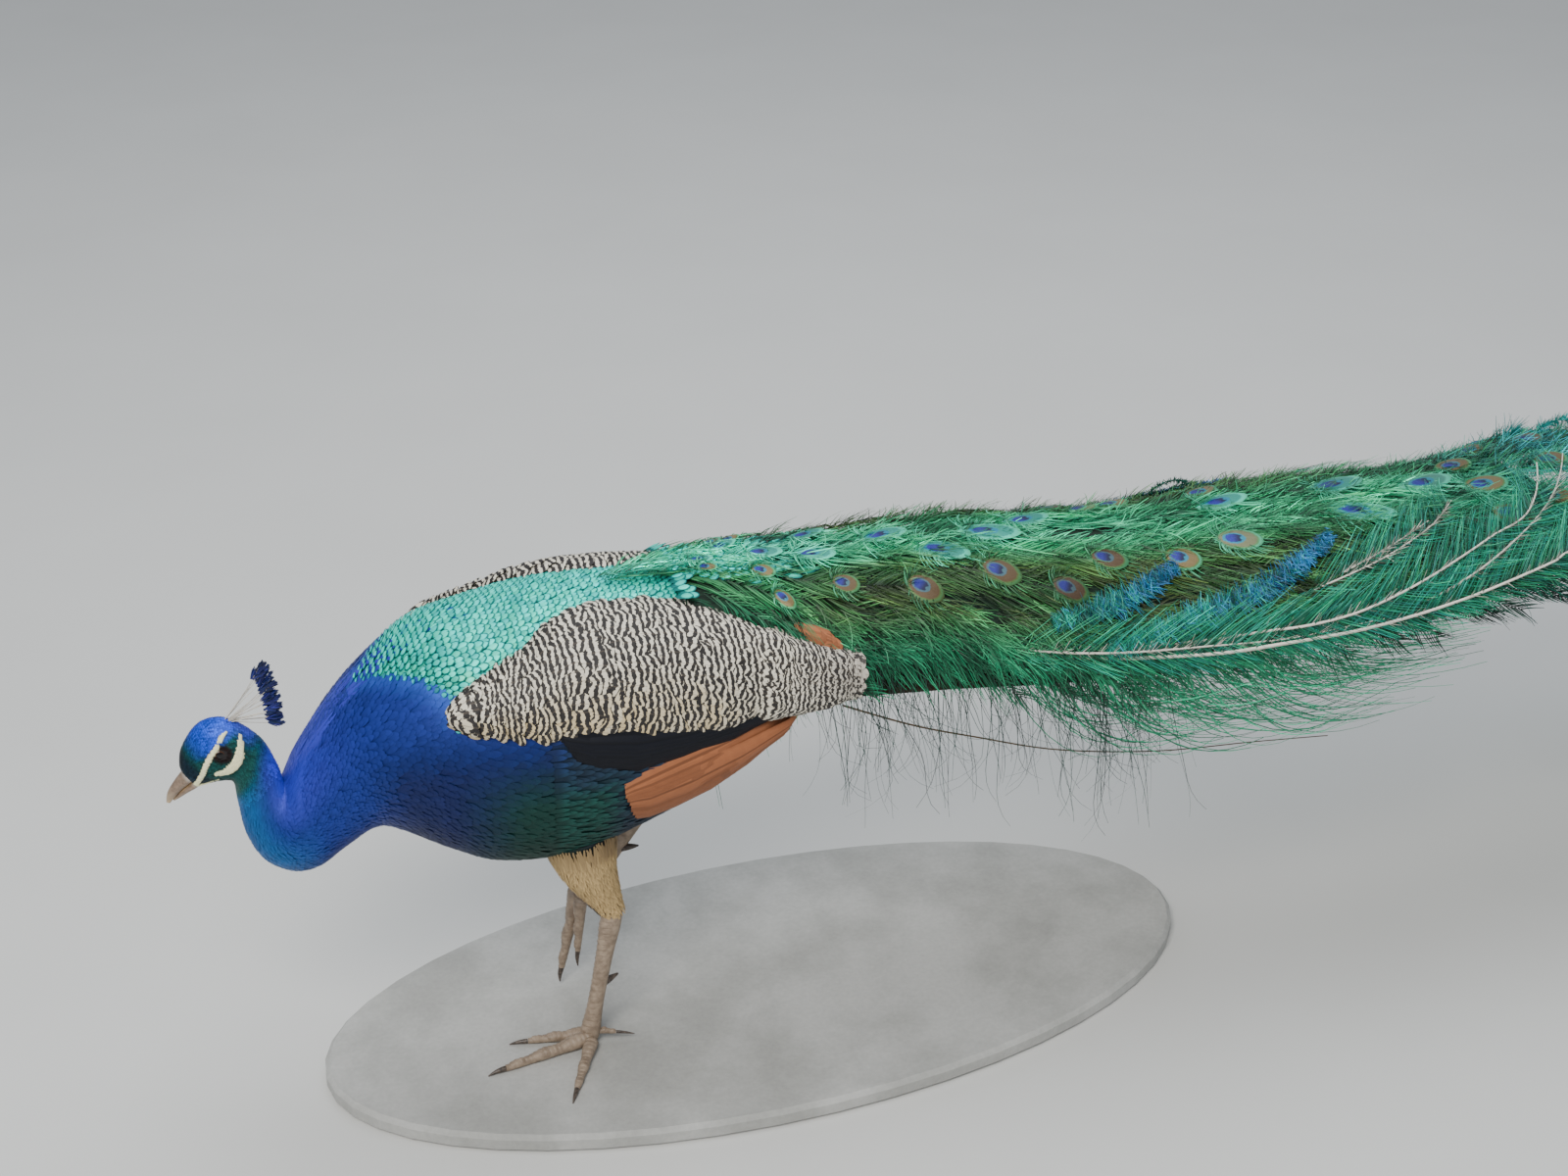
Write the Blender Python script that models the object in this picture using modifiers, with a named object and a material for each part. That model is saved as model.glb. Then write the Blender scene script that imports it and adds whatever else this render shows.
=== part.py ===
"""A life-size museum model of a peacock stepping forward, on a flat oval base.

The bird faces -X and its left side is -Y. The origin is the middle of the base's underside.
The soft body is one loft along the bird's middle line, parted by thin cuts into head, neck,
breast, trunk and rump. Wings, thighs, tail and train lie on it and are cut clear of it.
"""

import math

import bmesh
import bpy
from mathutils import Vector

GAP = 0.0003
CUTTER_GROWTH = 0.0005

BASE_LENGTH = 0.84
BASE_WIDTH = 0.38
BASE_THICKNESS = 0.018
BASE_EDGE = 0.004

BODY_SIDES = 18
BODY_STEPS = 2

# The body's sections: the top point and the bottom point, as (x, z), and the half width.
BODY_SECTIONS = {
    "bill_base": ((-0.5085, 0.3595), (-0.4950, 0.3415), 0.0085),
    "forehead": ((-0.5050, 0.3785), (-0.4805, 0.3435), 0.0142),
    "crown": ((-0.4885, 0.3985), (-0.4695, 0.3425), 0.0190),
    "hind_crown": ((-0.4655, 0.3985), (-0.4668, 0.3380), 0.0190),
    "nape": ((-0.4410, 0.3755), (-0.4662, 0.3320), 0.0172),
    "throat": ((-0.4300, 0.3480), (-0.4655, 0.3180), 0.0178),
    "upper_neck": ((-0.4275, 0.3350), (-0.4620, 0.2860), 0.0232),
    "bend_front": ((-0.4265, 0.3310), (-0.4500, 0.2595), 0.0290),
    "bend_bottom": ((-0.4245, 0.3340), (-0.4280, 0.2450), 0.0360),
    "bend_rear": ((-0.4160, 0.3510), (-0.4060, 0.2470), 0.0430),
    "lower_neck": ((-0.4020, 0.3710), (-0.3830, 0.2630), 0.0500),
    "neck_base": ((-0.3780, 0.4000), (-0.3560, 0.2800), 0.0620),
    "shoulder": ((-0.3490, 0.4250), (-0.3350, 0.2740), 0.0780),
    "breast": ((-0.3070, 0.4530), (-0.2990, 0.2500), 0.0960),
    "wing_bow": ((-0.2620, 0.4630), (-0.2560, 0.2285), 0.1060),
    "belly": ((-0.1900, 0.4710), (-0.1900, 0.2240), 0.1100),
    "hip": ((-0.1100, 0.4660), (-0.1100, 0.2470), 0.1040),
    "rump": ((-0.0300, 0.4540), (-0.0400, 0.2760), 0.0900),
    "tail_root": ((0.0450, 0.4300), (0.0350, 0.3350), 0.0500),
}
# Each length of the body: its node, its first and last section, its colour.
BODY_LENGTHS = (
    ("head", "bill_base", "nape", (0.02, 0.10, 0.32)),
    ("neck_upper", "nape", "bend_front", (0.01, 0.12, 0.28)),
    ("neck_middle", "bend_front", "lower_neck", (0.01, 0.05, 0.40)),
    ("neck_lower", "lower_neck", "shoulder", (0.02, 0.03, 0.42)),
    ("breast", "shoulder", "wing_bow", (0.02, 0.05, 0.35)),
    ("trunk", "wing_bow", "hip", (0.01, 0.10, 0.15)),
    ("rump", "hip", "tail_root", (0.02, 0.08, 0.06)),
)

HEAD_CENTRE = Vector((-0.470, 0.0, 0.371))
HEAD_DROP = math.radians(36.0)
EYE_CENTRE = Vector((-0.4765, 0.0126, 0.3760))
EYE_RADIUS = 0.0064

CREST_ROOT = Vector((-0.4630, 0.0, 0.3975))
CREST_LOW = math.radians(-21.0)
CREST_HIGH = math.radians(56.0)
CREST_LOW_REACH = 0.041
CREST_HIGH_REACH = 0.053
CREST_SPOKES = 9
CREST_NOTCH = 0.05
# Out along the crest: the share of its reach, and half its thickness.
CREST_PROFILE = (
    (0.08, 0.0012),
    (0.25, 0.0010),
    (0.62, 0.0012),
    (0.72, 0.0030),
    (0.86, 0.0042),
    (1.00, 0.0018),
)

# From the face to the tip, by (ahead, up, half width, half height) in the head's own frame.
UPPER_BILL = (
    (0.0384, 0.0042, 0.0080, 0.0056),
    (0.0480, 0.0032, 0.0058, 0.0048),
    (0.0580, 0.0006, 0.0036, 0.0036),
    (0.0655, -0.0032, 0.0009, 0.0012),
)
LOWER_BILL = (
    (0.0384, -0.0054, 0.0068, 0.0037),
    (0.0480, -0.0050, 0.0046, 0.0029),
    (0.0560, -0.0052, 0.0026, 0.0016),
    (0.0605, -0.0058, 0.0008, 0.0007),
)

# A wing's layers, front to rear: x, least half width of the bird there, lowest and highest angle.
COVERT_SPANS = (
    (-0.302, 0.0, 27.0, 36.0),
    (-0.285, 0.0, 25.0, 47.0),
    (-0.240, 0.0, 20.0, 60.0),
    (-0.205, 0.0, 20.0, 70.0),
    (-0.160, 0.0, 17.0, 77.0),
    (-0.115, 0.0, 11.0, 75.0),
    (-0.070, 0.0, 4.0, 62.0),
    (-0.020, 0.100, -1.0, 50.0),
    (0.030, 0.096, -3.0, 36.0),
    (0.058, 0.092, 2.0, 22.0),
)
COVERT_THICKNESS = 0.014
SECONDARY_SPANS = (
    (-0.225, 0.0, 8.0, 26.0),
    (-0.190, 0.0, 0.0, 25.0),
    (-0.150, 0.0, -5.0, 22.0),
    (-0.110, 0.0, -9.0, 18.0),
    (-0.060, 0.0, -14.0, 10.0),
    (0.000, 0.090, -14.0, 4.0),
    (0.030, 0.086, -12.0, 1.0),
)
SECONDARY_THICKNESS = 0.007
PRIMARY_SPANS = (
    (-0.165, 0.0, -54.0, -22.0),
    (-0.130, 0.0, -58.0, -6.0),
    (-0.070, 0.0, -56.0, -6.0),
    (-0.010, 0.084, -46.0, -8.0),
    (0.024, 0.080, -36.0, -8.0),
)
PRIMARY_THICKNESS = 0.005
WING_DEPTH = 0.006
WING_COLUMNS = 6
WING_STEPS = 2

HIP_LEFT = Vector((-0.190, -0.050, 0.262))
KNEE_LEFT = Vector((-0.180, -0.042, 0.214))
HOCK_LEFT = Vector((-0.158, -0.036, 0.157))
HEEL_LEFT = Vector((-0.184, -0.038, 0.031))
HIP_RIGHT = Vector((-0.120, 0.056, 0.290))
KNEE_RIGHT = Vector((-0.096, 0.052, 0.262))
HOCK_RIGHT = Vector((-0.078, 0.050, 0.232))
HEEL_RIGHT = Vector((-0.162, 0.050, 0.118))
# Half sizes of a thigh at the hip, at the knee, a little above the hock and at the hock.
THIGH_SIZES = ((0.030, 0.036), (0.023, 0.026), (0.0125, 0.0145), (0.0092, 0.0114))
THIGH_TAPER = 0.016
# Down the shank: the share of the way from the hock to the heel, and the half sizes there.
SHANK_PROFILE = (
    (-0.06, 0.0072, 0.0088),
    (0.12, 0.0080, 0.0098),
    (0.35, 0.0062, 0.0080),
    (0.75, 0.0062, 0.0072),
    (1.00, 0.0085, 0.0090),
    (1.07, 0.0075, 0.0070),
)
SPUR_PLACE = 0.62
SPUR_PROFILE = ((0.0, 0.0042), (0.012, 0.0032), (0.022, 0.0008))
TOE_SOLE = BASE_THICKNESS + GAP
# Along a toe and along its claw: the share of its length, its fullness, and the claw's fall.
TOE_PROFILE = (
    (0.00, 1.0),
    (0.22, 0.95),
    (0.38, 0.78),
    (0.55, 0.88),
    (0.72, 0.68),
    (0.87, 0.72),
    (0.96, 0.55),
    (1.00, 0.545),
)
TOE_TAPER = 0.25
CLAW_PROFILE = ((0.0, 1.0, 0.0), (0.12, 1.0, 0.0), (0.45, 0.8, 0.05), (0.75, 0.5, 0.45), (1.0, 0.2, 1.0))
CLAW_FULLNESS = 0.85

# Toes: the name, outward spread, length with the claw, half thickness, the root's outward place.
TOES = (
    ("middle", math.radians(8.0), 0.099, 0.0074, 0.0),
    ("inner", math.radians(-12.0), 0.071, 0.0064, -0.0085),
    ("outer", math.radians(62.0), 0.078, 0.0066, 0.0060),
)
CLAW_LENGTH = 0.017
HIND_TOE_LEFT = (0.040, 0.0042)
HIND_TOE_RIGHT = (0.038, 0.0040)

TAIL_THICKNESS = 0.004
# Along the tail: x, z and the half width.
TAIL_STATIONS = (
    (0.000, 0.350, 0.045),
    (0.120, 0.352, 0.075),
    (0.270, 0.348, 0.105),
    (0.360, 0.343, 0.090),
    (0.385, 0.341, 0.040),
)

TRAIN_START = -0.095
TRAIN_JOIN = 0.200
TRAIN_PART = 0.450
TRAIN_BED_END = 0.700
TRAIN_END = 1.230
TRAIN_FEATHERS = 10
ARCH_SIDES = 10
ARCH_ANGLE = math.radians(78.0)
# By x: the height of the train's middle line, its half width, how far its edges fall, how thick.
TRAIN_HEIGHT = ((-0.10, 0.478), (0.10, 0.466), (0.40, 0.435), (0.80, 0.410), (1.24, 0.345))
TRAIN_HALF_WIDTH = (
    (-0.10, 0.052),
    (0.06, 0.100),
    (0.30, 0.132),
    (0.70, 0.150),
    (1.00, 0.205),
    (1.24, 0.225),
)
TRAIN_DROP = (
    (-0.10, 0.012),
    (0.06, 0.070),
    (0.25, 0.090),
    (0.60, 0.068),
    (1.00, 0.050),
    (1.24, 0.040),
)
TRAIN_THICKNESS = ((-0.10, 0.014), (0.05, 0.050), (0.25, 0.042), (0.70, 0.022), (1.24, 0.006))
BED_RING_PITCH = 0.05
# A long feather: the share of its length, and the share of its room across.
FEATHER_PROFILE = (
    (0.00, 0.92),
    (0.25, 0.88),
    (0.50, 0.84),
    (0.72, 0.80),
    (0.84, 0.88),
    (0.92, 0.86),
    (0.97, 0.60),
    (1.00, 0.18),
)
SIDE_SHORTENING = 0.17
ODD_SHORTENING = 0.07
FEATHER_THINNESS = 0.75

FRINGE_START = 0.068
FRINGE_END = 0.460
FRINGE_TEETH = 8
FRINGE_SHARE = 0.93
FRINGE_LONG = 0.130
FRINGE_SHORT = 0.065
FRINGE_LEAST = 0.012
FRINGE_SWEEP = 0.35
FRINGE_SPLAY = 0.006


def material(name, colour, roughness=0.7, metallic=0.0):
    """One Principled material, its colour set for the view as well."""
    made = bpy.data.materials.new(name)
    made.use_nodes = True
    shader = made.node_tree.nodes["Principled BSDF"]
    shader.inputs["Base Color"].default_value = (*colour, 1.0)
    shader.inputs["Roughness"].default_value = roughness
    shader.inputs["Metallic"].default_value = metallic
    made.diffuse_color = (*colour, 1.0)
    return made


def add_object(name, mesh_maker, finish, collection):
    """A bmesh made into an object, its faces pointing out, smooth but for sharp edges."""
    mesh = bpy.data.meshes.new(name)
    bmesh.ops.recalc_face_normals(mesh_maker, faces=mesh_maker.faces)
    mesh_maker.to_mesh(mesh)
    mesh_maker.free()
    mesh.shade_smooth()
    mesh.set_sharp_from_angle(angle=math.radians(40.0))
    made = bpy.data.objects.new(name, mesh)
    collection.objects.link(made)
    if finish:
        mesh.materials.append(finish)
    else:
        made.hide_render = True
        made.display_type = "WIRE"
    return made


def loft(name, rings, finish, collection):
    """A closed skin over rings of equal count, with a flat face at each end."""
    shape = bmesh.new()
    rows = [[shape.verts.new(point) for point in ring] for ring in rings]
    for low, high in zip(rows, rows[1:]):
        for i in range(len(low)):
            j = (i + 1) % len(low)
            shape.faces.new((low[i], low[j], high[j], high[i]))
    shape.faces.new(rows[0])
    shape.faces.new(rows[-1])
    bmesh.ops.triangulate(shape, faces=[face for face in shape.faces if len(face.verts) > 4])
    return add_object(name, shape, finish, collection)


def spline(before, start, end, after, share):
    """The Catmull-Rom value at a share of the way from start to end."""
    return 0.5 * (
        2.0 * start
        + (end - before) * share
        + (2.0 * before - 5.0 * start + 4.0 * end - after) * share**2
        + (3.0 * start - before - 3.0 * end + after) * share**3
    )


def smoothed(stations, steps):
    """Rows of numbers, with steps - 1 further rows on a smooth curve between each two."""
    rows = []
    last = len(stations) - 1
    for i in range(last):
        four = [stations[min(max(k, 0), last)] for k in (i - 1, i, i + 1, i + 2)]
        for step in range(steps):
            rows.append([spline(*values, step / steps) for values in zip(*four)])
    rows.append(list(stations[last]))
    return rows


def eased(value, low, high):
    """0 below low, 1 above high, and a smooth rise between them."""
    share = min(max((value - low) / (high - low), 0.0), 1.0)
    return share * share * (3.0 - 2.0 * share)


def along(x, table):
    """The smooth value at x of a short table of (x, value)."""
    for (x0, v0), (x1, v1) in zip(table, table[1:]):
        if x <= x1:
            return v0 + (v1 - v0) * eased(x, x0, x1)
    return table[-1][1]


# ---------------------------------------------------------------- the body


def body_rows():
    stations = [(*top, *bottom, half) for top, bottom, half in BODY_SECTIONS.values()]
    return smoothed(stations, BODY_STEPS)


def section_frame(row):
    """The centre of a section, its upward half axis, and the direction towards the tail."""
    top = Vector((row[0], 0.0, row[1]))
    bottom = Vector((row[2], 0.0, row[3]))
    half = (top - bottom) / 2.0
    onward = Vector((0.0, 1.0, 0.0)).cross(half).normalized()
    return (top + bottom) / 2.0, half, onward


def section_point(row, angle, grow=0.0):
    """A point on a section: 0 is the left side, a quarter turn is the top."""
    centre, half, _ = section_frame(row)
    up = half * (1.0 + grow / half.length)
    return centre + up * math.sin(angle) - Vector((0.0, (row[4] + grow) * math.cos(angle), 0.0))


def body_ring(row, grow=0.0, shift=0.0):
    _, _, onward = section_frame(row)
    turns = [2.0 * math.pi * i / BODY_SIDES for i in range(BODY_SIDES)]
    return [section_point(row, turn, grow) + onward * shift for turn in turns]


def make_body(parts):
    rows = body_rows()
    order = list(BODY_SECTIONS)
    made = {}
    for name, first, last, colour in BODY_LENGTHS:
        start = order.index(first) * BODY_STEPS
        end = order.index(last) * BODY_STEPS
        rings = [body_ring(row) for row in rows[start : end + 1]]
        if start:
            rings[0] = body_ring(rows[start], shift=GAP)
        made[name] = loft(name, rings, material(name + "_plumage", colour, 0.55), parts)
    return made


def make_body_cutter(cutters):
    rings = [body_ring(row, CUTTER_GROWTH) for row in body_rows()]
    return loft("cut_body", rings, None, cutters)


# ---------------------------------------------------------------- pieces swept along a line


def sweep_rings(stations, sides, steps, side_axis):
    """Rings across a line of (x, y, z, half width, half height)."""
    rows = smoothed(stations, steps)
    points = [Vector(row[:3]) for row in rows]
    rings = []
    for i, row in enumerate(rows):
        onward = points[min(i + 1, len(rows) - 1)] - points[max(i - 1, 0)]
        onward.normalize()
        side = (side_axis - onward * side_axis.dot(onward)).normalized()
        up = onward.cross(side)
        turns = [2.0 * math.pi * (k + 0.5) / sides for k in range(sides)]
        ring = [points[i] + side * row[3] * math.cos(a) + up * row[4] * math.sin(a) for a in turns]
        rings.append(ring)
    return rings


def sweep(name, stations, finish, collection, sides=10, steps=3, side_axis=Vector((0.0, 1.0, 0.0))):
    return loft(name, sweep_rings(stations, sides, steps, side_axis), finish, collection)


def cut(target, *cutters):
    """The target without the space that each cutter holds."""
    for cutter in cutters:
        modifier = target.modifiers.new("clear_of_" + cutter.name, "BOOLEAN")
        modifier.operation = "DIFFERENCE"
        modifier.solver = "EXACT"
        modifier.use_self = True
        modifier.object = cutter
    return target


# ---------------------------------------------------------------- the head


def head_point(onward, up, side=0.0):
    """A place in the head's own frame: towards the bill's tip, and up over the crown."""
    ahead = Vector((-math.cos(HEAD_DROP), 0.0, -math.sin(HEAD_DROP)))
    crown = Vector((-math.sin(HEAD_DROP), 0.0, math.cos(HEAD_DROP)))
    return HEAD_CENTRE + ahead * onward + crown * up + Vector((0.0, side, 0.0))


def make_bill(parts):
    horn = material("bill_horn", (0.42, 0.30, 0.22), 0.4)
    for name, profile in (("bill_upper", UPPER_BILL), ("bill_lower", LOWER_BILL)):
        stations = [(*head_point(f, n), w, h) for f, n, w, h in profile]
        sweep(name, stations, horn, parts, sides=10, steps=2)


def make_eyes(head, parts, cutters):
    gloss = material("eye_gloss", (0.03, 0.015, 0.01), 0.08)
    for side, name in ((-1.0, "eye_left"), (1.0, "eye_right")):
        centre = EYE_CENTRE * 1.0
        centre.y *= side
        for label, radius, finish, group in (
            (name, EYE_RADIUS, gloss, parts),
            ("cut_" + name, EYE_RADIUS + CUTTER_GROWTH, None, cutters),
        ):
            ball = bmesh.new()
            bmesh.ops.create_uvsphere(ball, u_segments=10, v_segments=6, radius=radius)
            bmesh.ops.translate(ball, verts=ball.verts, vec=centre)
            made = add_object(label, ball, finish, group)
        cut(head, made)


def make_crest(parts, body_cutter):
    """The crest's fan of bare shafts, thin, with its rim of spoon-shaped tips, thicker."""
    shape = bmesh.new()
    sides = []
    for sign in (-1.0, 1.0):
        rows = []
        for share, thickness in CREST_PROFILE:
            row = []
            for k in range(CREST_SPOKES):
                spread = k / (CREST_SPOKES - 1)
                turn = CREST_LOW + (CREST_HIGH - CREST_LOW) * spread
                reach = CREST_LOW_REACH + (CREST_HIGH_REACH - CREST_LOW_REACH) * spread
                tip = 1.0 - (CREST_NOTCH if k % 2 and share == 1.0 else 0.0)
                ray = Vector((math.cos(turn), 0.0, math.sin(turn))) * reach * share * tip
                row.append(shape.verts.new(CREST_ROOT + ray + Vector((0.0, sign * thickness, 0.0))))
            rows.append(row)
        sides.append(rows)
    near, far = sides
    last_row = len(CREST_PROFILE) - 1
    last_spoke = CREST_SPOKES - 1
    for i in range(last_row):
        for k in range(last_spoke):
            shape.faces.new((near[i][k], near[i][k + 1], near[i + 1][k + 1], near[i + 1][k]))
            shape.faces.new((far[i][k], far[i + 1][k], far[i + 1][k + 1], far[i][k + 1]))
        for k in (0, last_spoke):
            shape.faces.new((near[i][k], near[i + 1][k], far[i + 1][k], far[i][k]))
    for i in (0, last_row):
        for k in range(last_spoke):
            shape.faces.new((near[i][k], far[i][k], far[i][k + 1], near[i][k + 1]))
    crest = add_object("crest", shape, material("crest_plumage", (0.02, 0.06, 0.25), 0.6), parts)
    cut(crest, body_cutter)


# ---------------------------------------------------------------- the wings


def body_row_at(x):
    """The body's section whose middle lies at x, read between the rows of the trunk."""
    rows = [row for row in body_rows() if (row[0] + row[2]) / 2.0 > -0.36]
    for low, high in zip(rows, rows[1:]):
        x0 = (low[0] + low[2]) / 2.0
        x1 = (high[0] + high[2]) / 2.0
        if x <= x1:
            share = max((x - x0) / (x1 - x0), 0.0)
            return [a + (b - a) * share for a, b in zip(low, high)]
    return rows[-1]


def wing_patch(name, side, spans, thickness, finish, collection, grow=0.0):
    """A layer of feathers lying on the trunk's side.

    spans holds rows of (x, half width of the bird there, lowest angle, highest angle), front to
    rear. Each row's ring runs over the layer's outer face and back through the trunk's flank.
    """
    rings = []
    margin = math.degrees(2.0 * grow / BODY_SECTIONS["belly"][2])
    for x, reach, low, high in smoothed(spans, WING_STEPS):
        row = body_row_at(x)
        row[4] = max(row[4], reach)
        shift = Vector((x - (row[0] + row[2]) / 2.0, 0.0, 0.0))
        outer = []
        inner = []
        for k in range(WING_COLUMNS):
            share = k / (WING_COLUMNS - 1)
            turn = math.radians(low - margin + (high - low + 2.0 * margin) * share)
            bulge = thickness * (0.35 + 0.65 * math.sin(math.pi * share) ** 0.7)
            outer.append(section_point(row, turn, bulge + grow) + shift)
            inner.append(section_point(row, turn, -WING_DEPTH - grow) + shift)
        ring = outer + inner[::-1]
        rings.append([Vector((p.x, side * p.y, p.z)) for p in ring])
    if grow:
        rings[0] = [p - Vector((grow, 0.0, 0.0)) for p in rings[0]]
        rings[-1] = [p + Vector((grow, 0.0, 0.0)) for p in rings[-1]]
    return loft(name, rings, finish, collection)


def make_wings(parts, cutters, body_cutter):
    """Barred coverts over dark secondaries over chestnut primaries, the same on both sides."""
    barred = material("wing_plumage", (0.62, 0.56, 0.44), 0.75)
    dark = material("secondary_plumage", (0.02, 0.03, 0.05), 0.6)
    chestnut = material("primary_plumage", (0.55, 0.20, 0.07), 0.6)
    wing_cutters = {}
    for side, label in ((1.0, "left"), (-1.0, "right")):
        layers = (
            ("wing_", COVERT_SPANS, COVERT_THICKNESS, barred),
            ("secondaries_", SECONDARY_SPANS, SECONDARY_THICKNESS, dark),
            ("primaries_", PRIMARY_SPANS, PRIMARY_THICKNESS, chestnut),
        )
        above = []
        for stem, spans, thickness, finish in layers:
            made = wing_patch(stem + label, side, spans, thickness, finish, parts)
            cut(made, body_cutter, *above)
            cutter_name = "cut_" + stem + label
            above.append(
                wing_patch(cutter_name, side, spans, thickness, None, cutters, CUTTER_GROWTH)
            )
        wing_cutters[label] = above
    return wing_cutters


# ---------------------------------------------------------------- the legs


def make_leg(label, hip, knee, hock, heel, parts, cutters, blockers):
    """The feathered thigh, then the bare shank with its spur, from the hock to the ball of the foot."""
    buff = material("thigh_plumage_" + label, (0.50, 0.38, 0.24), 0.8)
    scute = material("leg_scutes_" + label, (0.36, 0.27, 0.22), 0.5)
    horn = material("spur_horn_" + label, (0.20, 0.15, 0.11), 0.4)
    onward = (hock - knee).normalized()
    for name, finish, group, grow in (
        ("thigh_" + label, buff, parts, 0.0),
        ("cut_thigh_" + label, None, cutters, CUTTER_GROWTH),
    ):
        places = (hip, knee, hock - onward * THIGH_TAPER, hock + onward * grow)
        stations = [(*p, w + grow, h + grow) for p, (w, h) in zip(places, THIGH_SIZES)]
        made = sweep(name, stations, finish, group, sides=10, steps=2)
        cut(made, *blockers)
    thigh_cutter = made
    shin = heel - hock
    for name, finish, group, grow in (
        ("tarsus_" + label, scute, parts, 0.0),
        ("cut_tarsus_" + label, None, cutters, CUTTER_GROWTH),
    ):
        stations = [(*(hock + shin * share), w + grow, h + grow) for share, w, h in SHANK_PROFILE]
        made = sweep(name, stations, finish, group, sides=8, steps=2)
        cut(made, thigh_cutter)
    inward = 0.35 if hip.y < 0.0 else -0.35
    back = Vector((1.0, inward, 0.15)).normalized()
    root = hock + shin * SPUR_PLACE
    stations = [(*(root + back * reach), size, size) for reach, size in SPUR_PROFILE]
    spur = sweep("spur_" + label, stations, horn, parts, sides=8, steps=2)
    cut(spur, made)
    return made


def make_toe(name, root, ahead, up, length, size, parts, cutters, blockers, droop):
    """A toe of three pads, and its claw in a node of its own. It returns the toe's cutter."""
    toe_length = length - CLAW_LENGTH
    scute = material(name + "_scutes", (0.38, 0.29, 0.24), 0.5)
    horn = material(name + "_claw_horn", (0.08, 0.06, 0.05), 0.35)
    side_axis = ahead.cross(up)
    rows = []
    for share, fullness in TOE_PROFILE:
        half = size * fullness * (1.0 - TOE_TAPER * share)
        rows.append((*(root + ahead * toe_length * share + up * (half - droop * share)), half, half))
    toe = sweep(name, rows, scute, parts, sides=8, steps=1, side_axis=side_axis)
    cut(toe, *blockers)
    grown = [(*row[:3], row[3] + CUTTER_GROWTH, row[4] + CUTTER_GROWTH) for row in rows]
    cutter = sweep("cut_" + name, grown, None, cutters, sides=8, steps=1, side_axis=side_axis)
    tip_half = rows[-1][3] * CLAW_FULLNESS
    end = Vector(rows[-1][:3])
    onward = (end - Vector(rows[-2][:3])).normalized()
    claw = []
    for share, fullness, fall in CLAW_PROFILE:
        place = end + onward * (GAP + CLAW_LENGTH * share) - up * (tip_half * 0.8 * fall)
        claw.append((*place, tip_half * fullness, tip_half * fullness))
    sweep(name + "_claw", claw, horn, parts, sides=6, steps=1, side_axis=side_axis)
    return cutter


def make_legs(parts, cutters, body_cutter, wing_cutters):
    up = Vector((0.0, 0.0, 1.0))
    shank = make_leg(
        "left",
        HIP_LEFT,
        KNEE_LEFT,
        HOCK_LEFT,
        HEEL_LEFT,
        parts,
        cutters,
        [body_cutter, *wing_cutters["left"][1:]],
    )
    root = Vector((HEEL_LEFT.x - 0.002, HEEL_LEFT.y - 0.003, TOE_SOLE))
    taken = [shank]
    for name, spread, length, size, outward in TOES:
        ahead = Vector((-math.cos(spread), -math.sin(spread), 0.0))
        start = root - Vector((0.0, outward, 0.0))
        toe = make_toe(
            "toe_left_" + name, start, ahead, up, length, size, parts, cutters, taken, 0.0
        )
        taken.append(toe)
    hallux = Vector((1.0, -0.25, -0.02)).normalized()
    lifted = HEEL_LEFT - Vector((0.0, 0.0, 0.003))
    make_toe("toe_left_hind", lifted, hallux, up, *HIND_TOE_LEFT, parts, cutters, taken, 0.002)
    shank = make_leg(
        "right",
        HIP_RIGHT,
        KNEE_RIGHT,
        HOCK_RIGHT,
        HEEL_RIGHT,
        parts,
        cutters,
        [body_cutter, *wing_cutters["right"][1:]],
    )
    down = Vector((-0.17, 0.0, -1.0)).normalized()
    front = Vector((-1.0, 0.0, 0.17)).normalized()
    taken = [shank]
    for name, spread, length, size, outward in TOES:
        lean = -0.10 if name == "middle" else 0.0
        ahead = (down + Vector((lean, math.sin(spread * 0.16), 0.0))).normalized()
        start = HEEL_RIGHT + Vector((0.0, outward * 1.3, 0.0))
        toe = make_toe(
            "toe_right_" + name, start, ahead, front, length, size, parts, cutters, taken, 0.0
        )
        taken.append(toe)
    hallux = Vector((0.55, 0.0, -1.0)).normalized()
    make_toe(
        "toe_right_hind", HEEL_RIGHT, hallux, front, *HIND_TOE_RIGHT, parts, cutters, taken, 0.0
    )


# ---------------------------------------------------------------- tail and train

def train_top(x, share):
    """A point on the train's upper face, share running from -1 at the left edge to 1 at the right."""
    turn = share * ARCH_ANGLE
    across = along(x, TRAIN_HALF_WIDTH) * math.sin(turn) / math.sin(ARCH_ANGLE)
    fall = along(x, TRAIN_DROP) * (1.0 - math.cos(turn)) / (1.0 - math.cos(ARCH_ANGLE))
    return Vector((x, across, along(x, TRAIN_HEIGHT) - fall))


def train_ring(x, low=-1.0, high=1.0, sides=ARCH_SIDES, grow=0.0, thin=1.0):
    """Over the train's arch from one edge to the other, and back along its underside."""
    shares = [low + (high - low) * k / sides for k in range(sides + 1)]
    over = []
    under = []
    for share in shares:
        point = train_top(x, share)
        depth = along(x, TRAIN_THICKNESS) * thin * (1.0 - 0.72 * share * share)
        edge = min(abs(share - low), abs(share - high)) / (high - low)
        depth *= 0.35 + 0.65 * min(edge * 4.0, 1.0)
        over.append(point + Vector((0.0, grow * share, grow)))
        under.append(point - Vector((0.0, -grow * share, depth + grow)))
    return over + under[::-1]


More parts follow.
